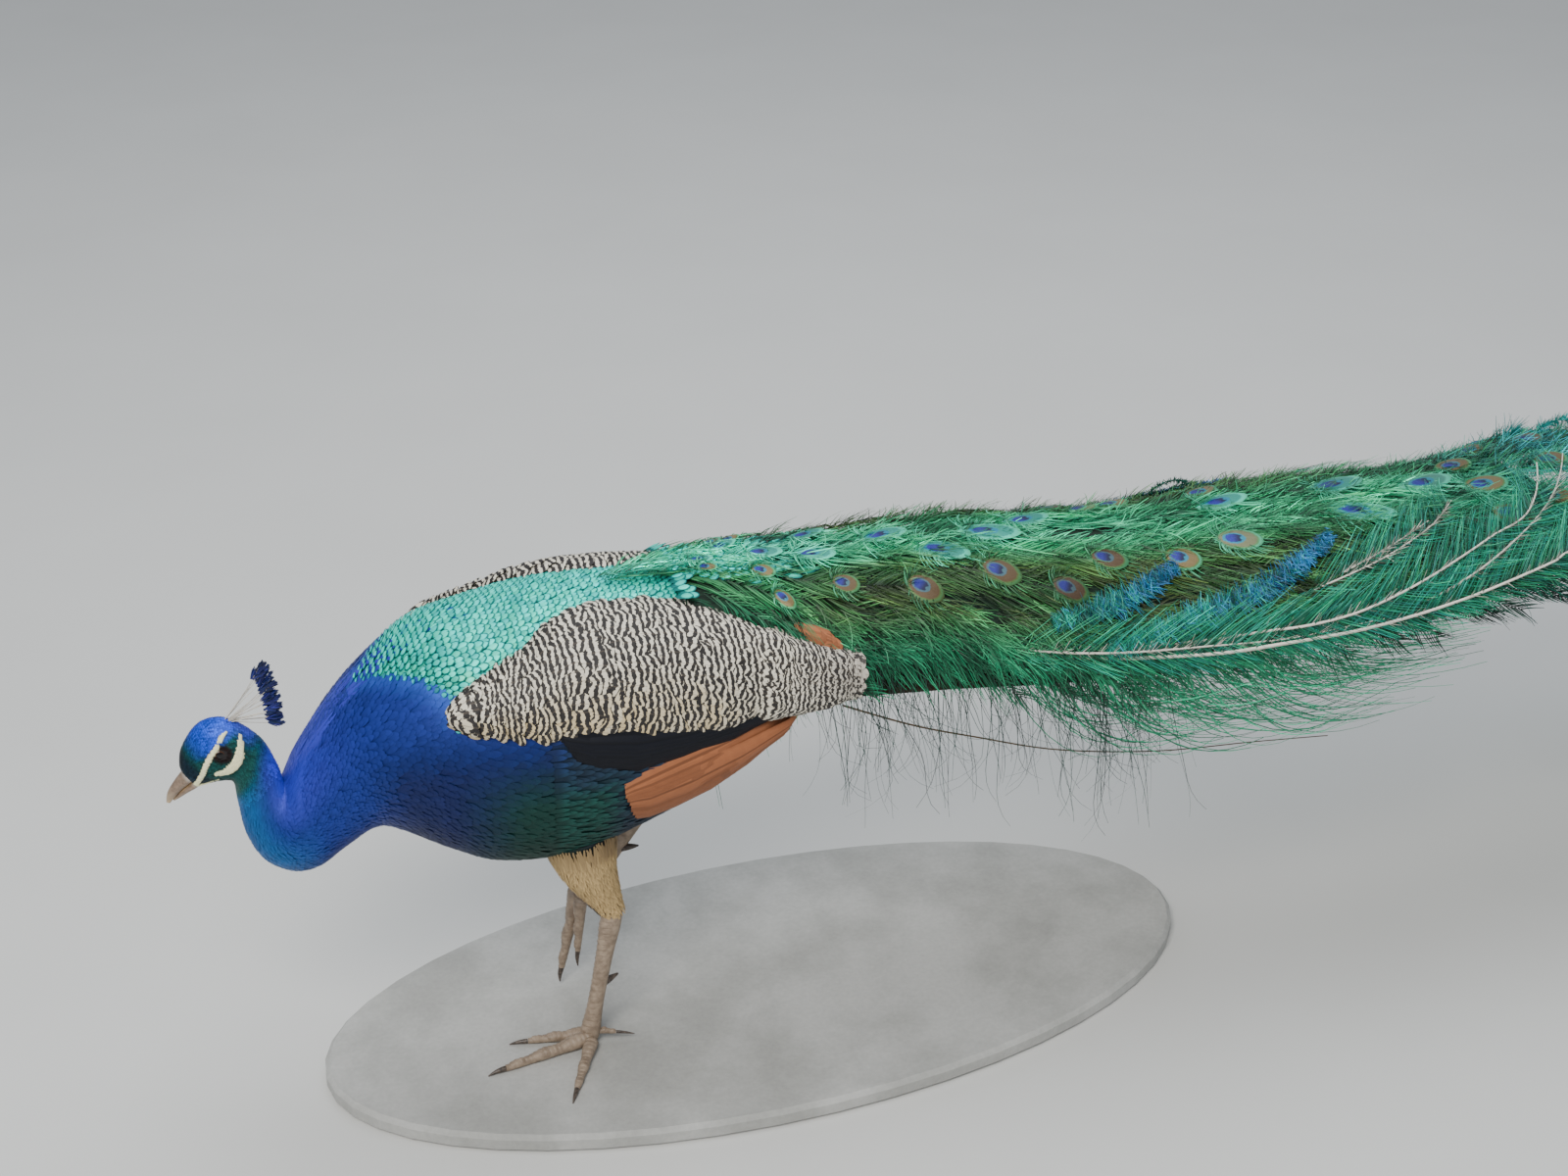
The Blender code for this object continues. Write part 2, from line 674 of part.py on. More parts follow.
def make_train(parts, blockers):
    green = material("train_plumage", (0.03, 0.26, 0.14), 0.5)
    lengths = (
        ("train_root", TRAIN_START, TRAIN_JOIN),
        ("train_middle", TRAIN_JOIN, TRAIN_PART),
        ("train_end", TRAIN_PART, TRAIN_BED_END),
    )
    for name, start, end in lengths:
        count = round((end - start) / BED_RING_PITCH)
        places = [start + (end - start) * i / count for i in range(count + 1)]
        if start > TRAIN_START:
            places[0] += GAP
        bed = loft(name, [train_ring(x) for x in places], green, parts)
        if start == TRAIN_START:
            cut(bed, *blockers)


def make_train_feathers(parts):
    """The long feathers past the bed, side by side to the train's true end, each with its eye."""
    pitch = 2.0 / TRAIN_FEATHERS
    for i in range(TRAIN_FEATHERS):
        middle = -1.0 + pitch * (i + 0.5)
        reach = TRAIN_END - SIDE_SHORTENING * middle * middle - (ODD_SHORTENING if i % 2 else 0.0)
        rings = []
        for share, fullness in FEATHER_PROFILE:
            x = TRAIN_BED_END + GAP + (reach - TRAIN_BED_END - GAP) * share
            half = pitch * 0.5 * fullness
            rings.append(
                train_ring(x, middle - half, middle + half, sides=2, thin=FEATHER_THINNESS)
            )
        colour = (0.03, 0.22 + 0.02 * (i % 2), 0.13)
        vane = material(f"train_feather_{i + 1}_vane", colour, 0.5)
        loft(f"train_feather_{i + 1}", rings, vane, parts)


def make_train_fringe(parts):
    """The loose barbs that hang from the train's two edges, as thin toothed curtains."""
    for sign, label in ((-1.0, "left"), (1.0, "right")):
        rings = []
        for i in range(2 * FRINGE_TEETH + 1):
            x = FRINGE_START + (FRINGE_END - FRINGE_START) * i / (2 * FRINGE_TEETH)
            swell = math.sin(math.pi * ((i + 1.5) / (2.0 * FRINGE_TEETH + 3.0)) ** 0.5)
            hang = (FRINGE_LONG if i % 2 else FRINGE_SHORT) * swell + FRINGE_LEAST
            edge = train_top(x, sign * FRINGE_SHARE)
            depth = along(x, TRAIN_THICKNESS) * 0.45
            top = edge - Vector((0.0, 0.0, depth + 0.002))
            low = top + Vector((FRINGE_SWEEP * hang, sign * FRINGE_SPLAY, -hang))
            half = Vector((0.0, 0.0012, 0.0))
            thin = Vector((0.0, 0.0004, 0.0))
            rings.append([top - half, low - thin, low + thin, top + half])
        finish = material("train_fringe_" + label + "_barbs", (0.02, 0.12, 0.08), 0.6)
        loft("train_fringe_" + label, rings, finish, parts)


def make_tail(parts, blockers):
    """The short brown tail that carries the train from below."""
    brown = material("tail_plumage", (0.16, 0.11, 0.07), 0.8)
    stations = [(x, 0.0, z, half, TAIL_THICKNESS) for x, z, half in TAIL_STATIONS]
    tail = sweep("tail", stations, brown, parts, sides=12, steps=2)
    cut(tail, *blockers)


def make_base(parts):
    """The oval board that the model stands on."""
    stone = material("stand_stone", (0.45, 0.46, 0.45), 0.7)
    shape = bmesh.new()
    bmesh.ops.create_cone(
        shape, cap_ends=True, segments=48, radius1=0.5, radius2=0.5, depth=BASE_THICKNESS
    )
    bmesh.ops.scale(shape, verts=shape.verts, vec=(BASE_LENGTH, BASE_WIDTH, 1.0))
    bmesh.ops.translate(shape, verts=shape.verts, vec=(0.0, 0.0, BASE_THICKNESS / 2.0))
    base = add_object("stand_base", shape, stone, parts)
    edge = base.modifiers.new("rounded_rim", "BEVEL")
    edge.width = BASE_EDGE
    edge.segments = 1
    edge.limit_method = "ANGLE"
    edge.angle_limit = math.radians(60.0)


def main():
    for old in list(bpy.data.objects):
        bpy.data.objects.remove(old)
    parts = bpy.data.collections.new("peacock")
    cutters = bpy.data.collections.new("cutters")
    for collection in (parts, cutters):
        bpy.context.scene.collection.children.link(collection)
    body = make_body(parts)
    body_cutter = make_body_cutter(cutters)
    make_bill(parts)
    make_eyes(body["head"], parts, cutters)
    make_crest(parts, body_cutter)
    wing_cutters = make_wings(parts, cutters, body_cutter)
    make_legs(parts, cutters, body_cutter, wing_cutters)
    make_tail(parts, [body_cutter])
    make_train(parts, [body_cutter, wing_cutters["left"][0], wing_cutters["right"][0]])
    make_train_feathers(parts)
    make_train_fringe(parts)
    make_base(parts)


main()
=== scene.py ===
"""The looks of a life-size peacock model: skin, feather coats, train, bare parts and base.

The bird faces -X and its left side is -Y. Each coat is made of joined vanes that lie on a
Surface: the same lofts as the solids, read as (row, column, height) places.
"""

import math

import bmesh
import bpy
import numpy as np
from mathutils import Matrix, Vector
from mathutils.kdtree import KDTree


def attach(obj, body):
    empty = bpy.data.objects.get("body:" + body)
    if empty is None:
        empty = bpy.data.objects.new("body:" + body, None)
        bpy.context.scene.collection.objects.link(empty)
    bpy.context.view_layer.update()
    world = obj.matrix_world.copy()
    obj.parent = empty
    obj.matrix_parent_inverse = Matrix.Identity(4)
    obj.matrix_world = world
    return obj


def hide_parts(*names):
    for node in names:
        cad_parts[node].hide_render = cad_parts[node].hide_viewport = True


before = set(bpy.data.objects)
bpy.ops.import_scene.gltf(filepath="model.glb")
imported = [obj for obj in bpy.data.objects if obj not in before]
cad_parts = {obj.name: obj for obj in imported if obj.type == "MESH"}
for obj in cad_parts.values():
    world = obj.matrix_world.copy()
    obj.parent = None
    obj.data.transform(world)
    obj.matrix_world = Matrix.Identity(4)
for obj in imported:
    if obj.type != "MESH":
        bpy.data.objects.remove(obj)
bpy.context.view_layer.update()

# ---- sizes of the bird

# The body's sections: the top point and the bottom point, as (x, z), and the half width.
BODY_SECTIONS = {
    "bill_base": ((-0.5085, 0.3595), (-0.4950, 0.3415), 0.0085),
    "forehead": ((-0.5050, 0.3785), (-0.4805, 0.3435), 0.0142),
    "crown": ((-0.4885, 0.3985), (-0.4695, 0.3425), 0.0190),
    "hind_crown": ((-0.4655, 0.3985), (-0.4668, 0.3380), 0.0190),
    "nape": ((-0.4410, 0.3755), (-0.4662, 0.3320), 0.0172),
    "throat": ((-0.4300, 0.3480), (-0.4655, 0.3180), 0.0178),
    "upper_neck": ((-0.4275, 0.3350), (-0.4620, 0.2860), 0.0232),
    "bend_front": ((-0.4265, 0.3310), (-0.4500, 0.2595), 0.0290),
    "bend_bottom": ((-0.4245, 0.3340), (-0.4280, 0.2450), 0.0360),
    "bend_rear": ((-0.4160, 0.3510), (-0.4060, 0.2470), 0.0430),
    "lower_neck": ((-0.4020, 0.3710), (-0.3830, 0.2630), 0.0500),
    "neck_base": ((-0.3780, 0.4000), (-0.3560, 0.2800), 0.0620),
    "shoulder": ((-0.3490, 0.4250), (-0.3350, 0.2740), 0.0780),
    "breast": ((-0.3070, 0.4530), (-0.2990, 0.2500), 0.0960),
    "wing_bow": ((-0.2620, 0.4630), (-0.2560, 0.2285), 0.1060),
    "belly": ((-0.1900, 0.4710), (-0.1900, 0.2240), 0.1100),
    "hip": ((-0.1100, 0.4660), (-0.1100, 0.2470), 0.1040),
    "rump": ((-0.0300, 0.4540), (-0.0400, 0.2760), 0.0900),
    "tail_root": ((0.0450, 0.4300), (0.0350, 0.3350), 0.0500),
}
SECTION_STEPS = 12
BODY_COLUMNS = 96
SECTION = {name: index * SECTION_STEPS for index, name in enumerate(BODY_SECTIONS)}

# By section, counted from the bill: the feathers' pitch, and how deep the skin lies under them.
FEATHER_PITCH = (
    (0.0, 0.0011), (2.0, 0.0013), (4.0, 0.0016), (6.0, 0.0021), (9.0, 0.0028),
    (12.0, 0.0042), (14.0, 0.0056), (18.0, 0.0090),
)
COAT_DEPTH = ((0.0, 0.0006), (3.0, 0.0009), (7.0, 0.0012), (12.0, 0.0019), (18.0, 0.0030))

HEAD_CENTRE = np.array((-0.470, 0.0, 0.371))
FACE_REAR = -0.445
HEAD_DROP = math.radians(36.0)
HEAD_AHEAD = np.array((-math.cos(HEAD_DROP), 0.0, -math.sin(HEAD_DROP)))
HEAD_CROWN = np.array((-math.sin(HEAD_DROP), 0.0, math.cos(HEAD_DROP)))
EYE_CENTRE = np.array((-0.4765, 0.0126, 0.3760))
EYE_RADIUS = 0.0064

CREST_ROOT = np.array((-0.4630, 0.0, 0.3975))
CREST_LOW = math.radians(-14.0)
CREST_HIGH = math.radians(56.0)
CREST_LOW_REACH = 0.042
CREST_HIGH_REACH = 0.072
CREST_SHAFTS = 23
CREST_BARBS = 46
# The share of its reach that each shaft makes up, and the part of it that carries barbs.
SHAFT_SHARE = 0.93
SPOON_START = 0.72
SPOON_REACH = 0.26

HOCK_LEFT = np.array((-0.158, -0.036, 0.157))
HEEL_LEFT = np.array((-0.184, -0.038, 0.031))
HOCK_RIGHT = np.array((-0.078, 0.050, 0.232))
HEEL_RIGHT = np.array((-0.162, 0.050, 0.118))
CLAW_LENGTH = 0.017
# Toes: the name, the outward spread, the length with its claw, half the thickness, and how far
# out the root lies.
TOES = (
    ("middle", math.radians(8.0), 0.099, 0.0074, 0.0),
    ("inner", math.radians(-12.0), 0.071, 0.0064, -0.0085),
    ("outer", math.radians(62.0), 0.078, 0.0066, 0.0060),
)

# A wing's layers, front to rear: x, half width of the bird there, lowest and highest angle.
COVERT_SPANS = (
    (-0.302, 0.0, 29.0, 40.0), (-0.285, 0.0, 27.0, 45.0), (-0.255, 0.0, 23.0, 53.0),
    (-0.227, 0.0, 20.0, 59.0), (-0.200, 0.0, 20.0, 68.0), (-0.165, 0.0, 17.0, 72.0),
    (-0.130, 0.0, 12.0, 72.0), (-0.100, 0.0, 7.0, 69.0), (-0.070, 0.0, 4.0, 61.0),
    (-0.042, 0.090, 3.0, 49.0), (-0.015, 0.098, 0.0, 42.0), (0.012, 0.098, -7.0, 36.0),
    (0.041, 0.094, -16.0, 31.0),
)
COVERT_THICKNESS = 0.014
SECONDARY_SPANS = (
    (-0.228, 0.0, 17.0, 28.0), (-0.195, 0.0, 7.0, 27.0), (-0.150, 0.0, -1.0, 24.0),
    (-0.110, 0.0, -3.0, 20.0), (-0.060, 0.0, -4.0, 16.0), (-0.015, 0.088, -6.0, 10.0),
    (0.012, 0.086, -6.0, 6.0),
)
SECONDARY_THICKNESS = 0.0045
PRIMARY_SPANS = (
    (-0.166, 0.0, -24.0, -10.0), (-0.140, 0.0, -38.0, -8.0), (-0.100, 0.0, -43.0, -6.0),
    (-0.060, 0.0, -39.0, -6.0), (-0.020, 0.084, -29.0, -8.0), (0.000, 0.080, -22.0, -10.0),
)
PRIMARY_THICKNESS = 0.005
WING_COLUMNS = 32
WING_STEPS = 16

TRAIN_START = -0.095
TRAIN_END = 1.230
ARCH_ANGLE = math.radians(78.0)
TRAIN_HEIGHT = ((-0.10, 0.478), (0.10, 0.466), (0.40, 0.435), (0.80, 0.410), (1.24, 0.345))
TRAIN_HALF_WIDTH = (
    (-0.10, 0.052), (0.06, 0.100), (0.30, 0.132), (0.70, 0.150), (1.00, 0.205), (1.24, 0.225),
)
TRAIN_DROP = (
    (-0.10, 0.012), (0.06, 0.070), (0.25, 0.090), (0.60, 0.068), (1.00, 0.050), (1.24, 0.040),
)
SKIRT_REACH = 1.7
SKIRT_DROP = 0.20

# ---- colours

CROWN_BLUE = (0.020, 0.075, 0.600)
NECK_BLUE = (0.013, 0.033, 0.240)
# Painted sheen: a violet-blue highlight on the neck's upper side and the nape.
NECK_VIOLET_SHEEN = (0.040, 0.056, 0.500)
FRONT_TURQUOISE = (0.008, 0.104, 0.320)
CHEEK_TEAL = (0.005, 0.060, 0.055)
LORE_DARK = (0.003, 0.018, 0.034)
BREAST_BLUE = (0.007, 0.015, 0.085)
BELLY_GREEN = (0.006, 0.042, 0.034)
FLANK_BLACK = (0.008, 0.018, 0.034)
BACK_GREEN = (0.026, 0.900, 0.660)
EDGE_BLUE = (0.022, 0.080, 0.430)
BACK_TURQUOISE = (0.026, 0.720, 0.660)
BACK_GOLD = (0.180, 0.450, 0.140)
BACK_MINT = (0.060, 1.000, 0.760)
BACK_RIM = (0.004, 0.105, 0.105)
COVERT_CREAM = (0.740, 0.690, 0.570)
COVERT_BUFF = (0.640, 0.500, 0.260)
COVERT_GREY = (0.470, 0.430, 0.370)
BAR_BLACK = (0.014, 0.011, 0.010)
SHAFT_BROWN = (0.120, 0.090, 0.060)
SECONDARY_DARK = (0.004, 0.005, 0.010)
PRIMARY_CHESTNUT = (0.300, 0.106, 0.044)
THIGH_BUFF = (0.500, 0.350, 0.165)
# Painted shade for the top of the thighs, under the belly.
THIGH_PAINTED_SHADE = (0.110, 0.070, 0.040)
TRAIN_TURQUOISE = (0.050, 0.700, 0.350)
TRAIN_EMERALD = (0.014, 0.165, 0.050)
TRAIN_BRONZE = (0.048, 0.072, 0.013)
TRAIN_BLUE = (0.012, 0.120, 0.290)
TRAIN_AQUA = (0.018, 0.330, 0.400)
TRAIN_DEEP = (0.006, 0.122, 0.062)
TRAIN_TEAL = (0.008, 0.185, 0.195)
TRAIN_FRESH = (0.020, 0.330, 0.130)
TRAIN_MINT = (0.070, 0.620, 0.380)
COMB_TEAL = (0.006, 0.200, 0.135)
# Painted shade for the train's bed, seen in the gaps between its feathers.
BED_SHADE_DARK, BED_SHADE_GREEN = (0.002, 0.010, 0.006), (0.008, 0.036, 0.018)
HAIR_DARK, HAIR_GREEN = (0.004, 0.012, 0.010), (0.006, 0.045, 0.028)
CURL_DARK, CURL_GREEN = (0.008, 0.130, 0.060), (0.022, 0.400, 0.200)
# The eyes' rings, from the rim inwards, where they lie in painted light, in painted shade and in
# the ridge's painted sheen.
RIM_GREEN, RIM_LIME, RIM_MINT = (0.050, 0.480, 0.260), (0.120, 0.520, 0.160), (0.060, 0.680, 0.470)
RING_OLIVE = (0.090, 0.190, 0.040)
BRONZE, BRONZE_SHADE = (0.210, 0.150, 0.055), (0.100, 0.052, 0.022)
BRONZE_MINT = (0.022, 0.300, 0.230)
RING_TURQUOISE = (0.008, 0.230, 0.340)
CORE_VIOLET, CORE_DARK = (0.018, 0.022, 0.300), (0.005, 0.005, 0.050)
LOW_QUILL_BROWN = (0.120, 0.080, 0.040)
QUILL_CREAM = (1.000, 0.940, 0.820)
QUILL_STREAK = (0.340, 0.220, 0.130)
TAIL_BROWN = (0.140, 0.095, 0.060)
EYE_PATCH = (0.012, 0.005, 0.005)
SKIN_PALE = (0.800, 0.780, 0.470)
HORN_DARK, HORN_PALE = (0.165, 0.115, 0.080), (0.275, 0.195, 0.140)
# The last of these is a painted highlight on the bill's root.
HORN_TIP, HORN_GAPE, HORN_ROOT_HIGHLIGHT = (0.46, 0.36, 0.24), (0.55, 0.38, 0.20), (0.50, 0.47, 0.42)
IRIS_DARK, IRIS_BROWN = (0.030, 0.012, 0.006), (0.090, 0.036, 0.014)
PUPIL, EYE_RIM = (0.002, 0.002, 0.002), (0.006, 0.004, 0.003)
LID_DARK, LID_PALE = (0.020, 0.018, 0.022), (0.070, 0.045, 0.040)
CLAW_DARK, CLAW_PALE = (0.030, 0.022, 0.018), (0.120, 0.090, 0.070)
SCUTE_DARK, SCUTE_PALE = (0.205, 0.150, 0.105), (0.345, 0.262, 0.190)
CREST_DARK = (0.003, 0.014, 0.050)
CREST_BLUE = (0.016, 0.018, 0.160)
STONE_DARK, STONE_PALE = (0.34, 0.34, 0.32), (0.47, 0.47, 0.45)
FLOOR_DARK, FLOOR_PALE = (0.62, 0.62, 0.60), (0.68, 0.68, 0.66)

CIRCLE = 2.0 * math.pi


# ---- numbers along the bird


def spline(before, start, end, after, share):
    """The Catmull-Rom value at a share of the way from start to end."""
    return 0.5 * (
        2.0 * start
        + (end - before) * share
        + (2.0 * before - 5.0 * start + 4.0 * end - after) * share**2
        + (3.0 * start - before - 3.0 * end + after) * share**3
    )


def smoothed(stations, steps):
    """Rows of numbers, with steps - 1 further rows on a smooth curve between each two."""
    table = np.array(stations, float)
    last = len(table) - 1
    rows = []
    for i in range(last):
        four = [table[min(max(k, 0), last)] for k in (i - 1, i, i + 1, i + 2)]
        rows += [spline(*four, step / steps) for step in range(steps)]
    rows.append(table[last])
    return np.array(rows)


def eased(value, low, high):
    """0 below low, 1 above high, and a smooth rise between them."""
    share = np.clip((value - low) / (high - low), 0.0, 1.0)
    return share * share * (3.0 - 2.0 * share)


def along(x, table):
    """The smooth value at x of a short table of (x, value)."""
    places = np.array([row[0] for row in table])
    values = np.array([row[1] for row in table])
    i = np.clip(np.searchsorted(places, x) - 1, 0, len(table) - 2)
    return values[i] + (values[i + 1] - values[i]) * eased(x, places[i], places[i + 1])


def blend(start, end, weight):
    """Colours between two, one for each weight."""
    start = np.broadcast_to(np.asarray(start, float), (len(weight), 3))
    return start + (np.asarray(end, float) - start) * np.asarray(weight)[:, None]


def layered(colour, *layers):
    """Colours with others laid over them in turn, each with its weights."""
    for tone, weight in layers:
        colour = blend(colour, tone, weight)
    return colour


def unit(vectors):
    """Vectors brought to a length of 1."""
    return vectors / np.maximum(np.linalg.norm(vectors, axis=-1, keepdims=True), 1e-12)


def evenly(count):
    """Numbers from 0 to 1 in even steps."""
    return np.linspace(0.0, 1.0, count)


def stacked(*parts):
    """Numbers or arrays, stretched to one shape, side by side on a new last axis."""
    return np.stack(np.broadcast_arrays(*parts), axis=-1)


def draws(seed):
    """Random numbers that are the same in each run."""
    return np.random.default_rng(seed)


# ---- surfaces that feathers lie on


class Surface:
    """A skin as a grid of points: rows run down the bird, columns run across or round it."""

    def __init__(self, points, closed=False, flip=False):
        self.points = points
        self.closed = closed
        self.rows, self.columns = points.shape[:2]
        down = np.gradient(points, axis=0)
        if closed:
            across = (np.roll(points, -1, axis=1) - np.roll(points, 1, axis=1)) / 2.0
        else:
            across = np.gradient(points, axis=1)
        self.normals = unit(np.cross(down, across)) * (-1.0 if flip else 1.0)
        self.down = down
        self.across = across
        self.row_pitch = np.maximum(np.linalg.norm(down, axis=-1), 1e-6)
        self.column_pitch = np.maximum(np.linalg.norm(across, axis=-1), 1e-6)

    def read(self, field, row, column):
        """A field's value between the grid's points."""
        row = np.clip(row, 0.0, self.rows - 1.001)
        if self.closed:
            column = np.mod(column, self.columns)
        else:
            column = np.clip(column, 0.0, self.columns - 1.001)
        i = row.astype(int)
        j = column.astype(int)
        k = (j + 1) % self.columns if self.closed else j + 1
        a = row - i
        b = column - j
        if field.ndim == 3:
            a = a[..., None]
            b = b[..., None]
        near = field[i, j] * (1.0 - b) + field[i, k] * b
        far = field[i + 1, j] * (1.0 - b) + field[i + 1, k] * b
        return near * (1.0 - a) + far * a

    def at(self, row, column, height=0.0):
        """Points at a height over the skin, which runs on straight past its open edges."""
        height = np.broadcast_to(height, np.shape(row))[..., None]
        found = self.read(self.points, row, column) + self.read(self.normals, row, column) * height
        past = row - np.clip(row, 0.0, self.rows - 1.0)
        found = found + self.read(self.down, row, column) * past[..., None]
        if not self.closed:
            past = column - np.clip(column, 0.0, self.columns - 1.0)
            found = found + self.read(self.across, row, column) * past[..., None]
        return found

    def staggered(self, first, last, pitch, low=0.0, high=None, seed=1, loose=0.12):
        """Feather roots in staggered rows from a first to a last row, and between two columns.

        pitch is a length, or a function of the row that gives one. It returns rows and columns.
        """
        rng = draws(seed)
        high = (self.columns if self.closed else self.columns - 1.0) if high is None else high
        found = []
        row = first
        turn = 0
        while row < last:
            step = pitch(row) if callable(pitch) else pitch
            columns = np.linspace(low, high, 25)[:-1]
            here = np.full(columns.shape, row)
            width = self.read(self.column_pitch, here, columns).mean() * (high - low)
            count = max(int(round(width / step)), 2)
            places = low + (high - low) * (np.arange(count) + 0.25 + 0.5 * (turn % 2)) / count
            found.append(stacked(row, places))
            row += step / self.read(self.row_pitch, here, columns).mean()
            turn += 1
        roots = np.concatenate(found)
        slack = rng.uniform(-loose, loose, roots.shape)
        step = np.array([pitch(r) if callable(pitch) else pitch for r in roots[:, 0]])
        roots[:, 0] += slack[:, 0] * step / self.read(self.row_pitch, roots[:, 0], roots[:, 1])
        roots[:, 1] += slack[:, 1] * step / self.read(self.column_pitch, roots[:, 0], roots[:, 1])
        return roots[:, 0], roots[:, 1]


def section_points(rows, angles, grow=0.0):
    """Points on body sections: angle 0 is the left side, a quarter turn is the top."""
    top = stacked(rows[..., 0], 0.0, rows[..., 1])
    bottom = stacked(rows[..., 2], 0.0, rows[..., 3])
    half = (top - bottom) / 2.0
    reach = np.linalg.norm(half, axis=-1, keepdims=True)
    grow = np.broadcast_to(grow, np.shape(angles))[..., None]
    up = half * (1.0 + grow / reach) * np.sin(angles)[..., None]
    side = np.zeros_like(up)
    side[..., 1] = -(rows[..., 4] + grow[..., 0]) * np.cos(angles)
    return (top + bottom) / 2.0 + up + side


def body_table():
    stations = [(*top, *bottom, half) for top, bottom, half in BODY_SECTIONS.values()]
    return smoothed(stations, SECTION_STEPS)


def body_surface():
    rows = body_table()
    angles = CIRCLE * np.arange(BODY_COLUMNS) / BODY_COLUMNS
    grid = np.repeat(rows[:, None, :], BODY_COLUMNS, axis=1)
    turns = np.repeat(angles[None, :], len(rows), axis=0)
    return Surface(section_points(grid, turns), closed=True)


def body_rows_at(x):
    """The body's sections whose middles lie at x, read between the rows of the trunk."""
    rows = body_table()
    middle = (rows[:, 0] + rows[:, 2]) / 2.0
    trunk = slice(SECTION["neck_base"], len(rows))
    return np.stack([np.interp(x, middle[trunk], rows[trunk, k]) for k in range(5)], axis=-1)


def wing_surface(spans, thickness, side, raised=0.0):
    """A wing layer's outer face. Column 0 is its lower edge; its upper rear part may be raised."""
    share = evenly(WING_COLUMNS)
    grid = np.repeat(smoothed(spans, WING_STEPS)[:, None, :], WING_COLUMNS, axis=1)
    rows = body_rows_at(grid[..., 0])
    shift = grid[..., 0] - (rows[..., 0] + rows[..., 2]) / 2.0
    rows[..., 4] = np.maximum(rows[..., 4], grid[..., 1])
    turns = np.radians(grid[..., 2] + (grid[..., 3] - grid[..., 2]) * share)
    bulge = thickness * (0.35 + 0.65 * np.sin(math.pi * share) ** 0.7)
    bulge = bulge + raised * eased(grid[..., 0], -0.100, -0.010) * eased(share, 0.35, 0.95)
    points = section_points(rows, turns, bulge)
    points[..., 0] += shift
    points[..., 1] *= side
    return Surface(points, flip=side < 0.0)


def train_points(x, share):
    """Points on the train's upper face. Past a share of 1 either side it hangs as a skirt."""
    inner = np.clip(share, -1.0, 1.0)
    over = np.abs(share - inner)
    turn = inner * ARCH_ANGLE
    across = along(x, TRAIN_HALF_WIDTH) * np.sin(turn) / math.sin(ARCH_ANGLE)
    fall = along(x, TRAIN_DROP) * (1.0 - np.cos(turn)) / (1.0 - math.cos(ARCH_ANGLE))
    height = along(x, TRAIN_HEIGHT) - fall - over * SKIRT_DROP
    return stacked(x, across + np.sign(share) * over * 0.012, height)


# The share of the half width that the loose feathers reach, by x.
TRAIN_REACH = ((-0.10, 0.98), (0.42, 0.93), (0.60, 0.80), (0.78, 0.65), (1.24, 0.60))
TRAIN_ROWS = 266
TRAIN_COLUMNS = 103


def train_surface():
    x = np.linspace(TRAIN_START, TRAIN_END, TRAIN_ROWS)
    share = np.linspace(-SKIRT_REACH, SKIRT_REACH, TRAIN_COLUMNS)
    return Surface(train_points(*np.meshgrid(x, share, indexing="ij")))


def train_row(x):
    return (np.asarray(x, float) - TRAIN_START) / (TRAIN_END - TRAIN_START) * (TRAIN_ROWS - 1)


def train_column(share):
    return (np.asarray(share, float) + SKIRT_REACH) / (2.0 * SKIRT_REACH) * (TRAIN_COLUMNS - 1)


def train_share(column):
    return (column / (TRAIN_COLUMNS - 1) * 2.0 - 1.0) * SKIRT_REACH


def train_place(x, share):
    return train_row(x), train_column(share)


def swept_surface(stations, steps, columns, side_axis=(0.0, 1.0, 0.0)):
    """A closed surface round a line of (x, y, z, half width, half height)."""
    rows = smoothed(stations, steps)
    points = rows[:, :3]
    onward = unit(np.gradient(points, axis=0))
    axis = np.array(side_axis, float)
    side = unit(axis - onward * (onward @ axis)[:, None])
    up = np.cross(onward, side)
    turns = CIRCLE * np.arange(columns) / columns
    ring = (
        side[:, None, :] * (rows[:, None, 3:4] * np.cos(turns)[None, :, None])
        + up[:, None, :] * (rows[:, None, 4:5] * np.sin(turns)[None, :, None])
    )
    return Surface(points[:, None, :] + ring, closed=True, flip=True)


# ---- vanes joined into one mesh

# Outlines of a vane: how far along, and the share of the half width there.
SCALE_FORM = ((0.0, 0.55), (0.40, 0.92), (0.70, 1.0), (0.88, 0.74), (0.97, 0.38), (1.0, 0.10))
COVERT_FORM = (
    (0.0, 0.45), (0.20, 0.80), (0.45, 0.97), (0.65, 1.0), (0.80, 0.92), (0.90, 0.70), (0.97, 0.38),
    (1.0, 0.08),
)
QUILL_FORM = (
    (0.0, 0.40), (0.10, 0.75), (0.25, 0.95), (0.45, 1.0), (0.65, 1.0), (0.80, 0.93), (0.90, 0.75),
    (0.96, 0.48), (1.0, 0.10),
)
TUFT_FORM = ((0.0, 0.60), (0.45, 1.0), (0.80, 0.62), (1.0, 0.05))
# Half the side of a barb's patch of the bake map, and how unevenly the vanes lie over each other.
PATCH = 0.0015
UNEVEN = 0.0002


def per_feather(count, axes, *values):
    """Each number, or array of count numbers, as an array with axes more axes of length 1."""
    shape = (count,) + (1,) * axes
    return [np.broadcast_to(value, count).astype(float).reshape(shape) for value in values]


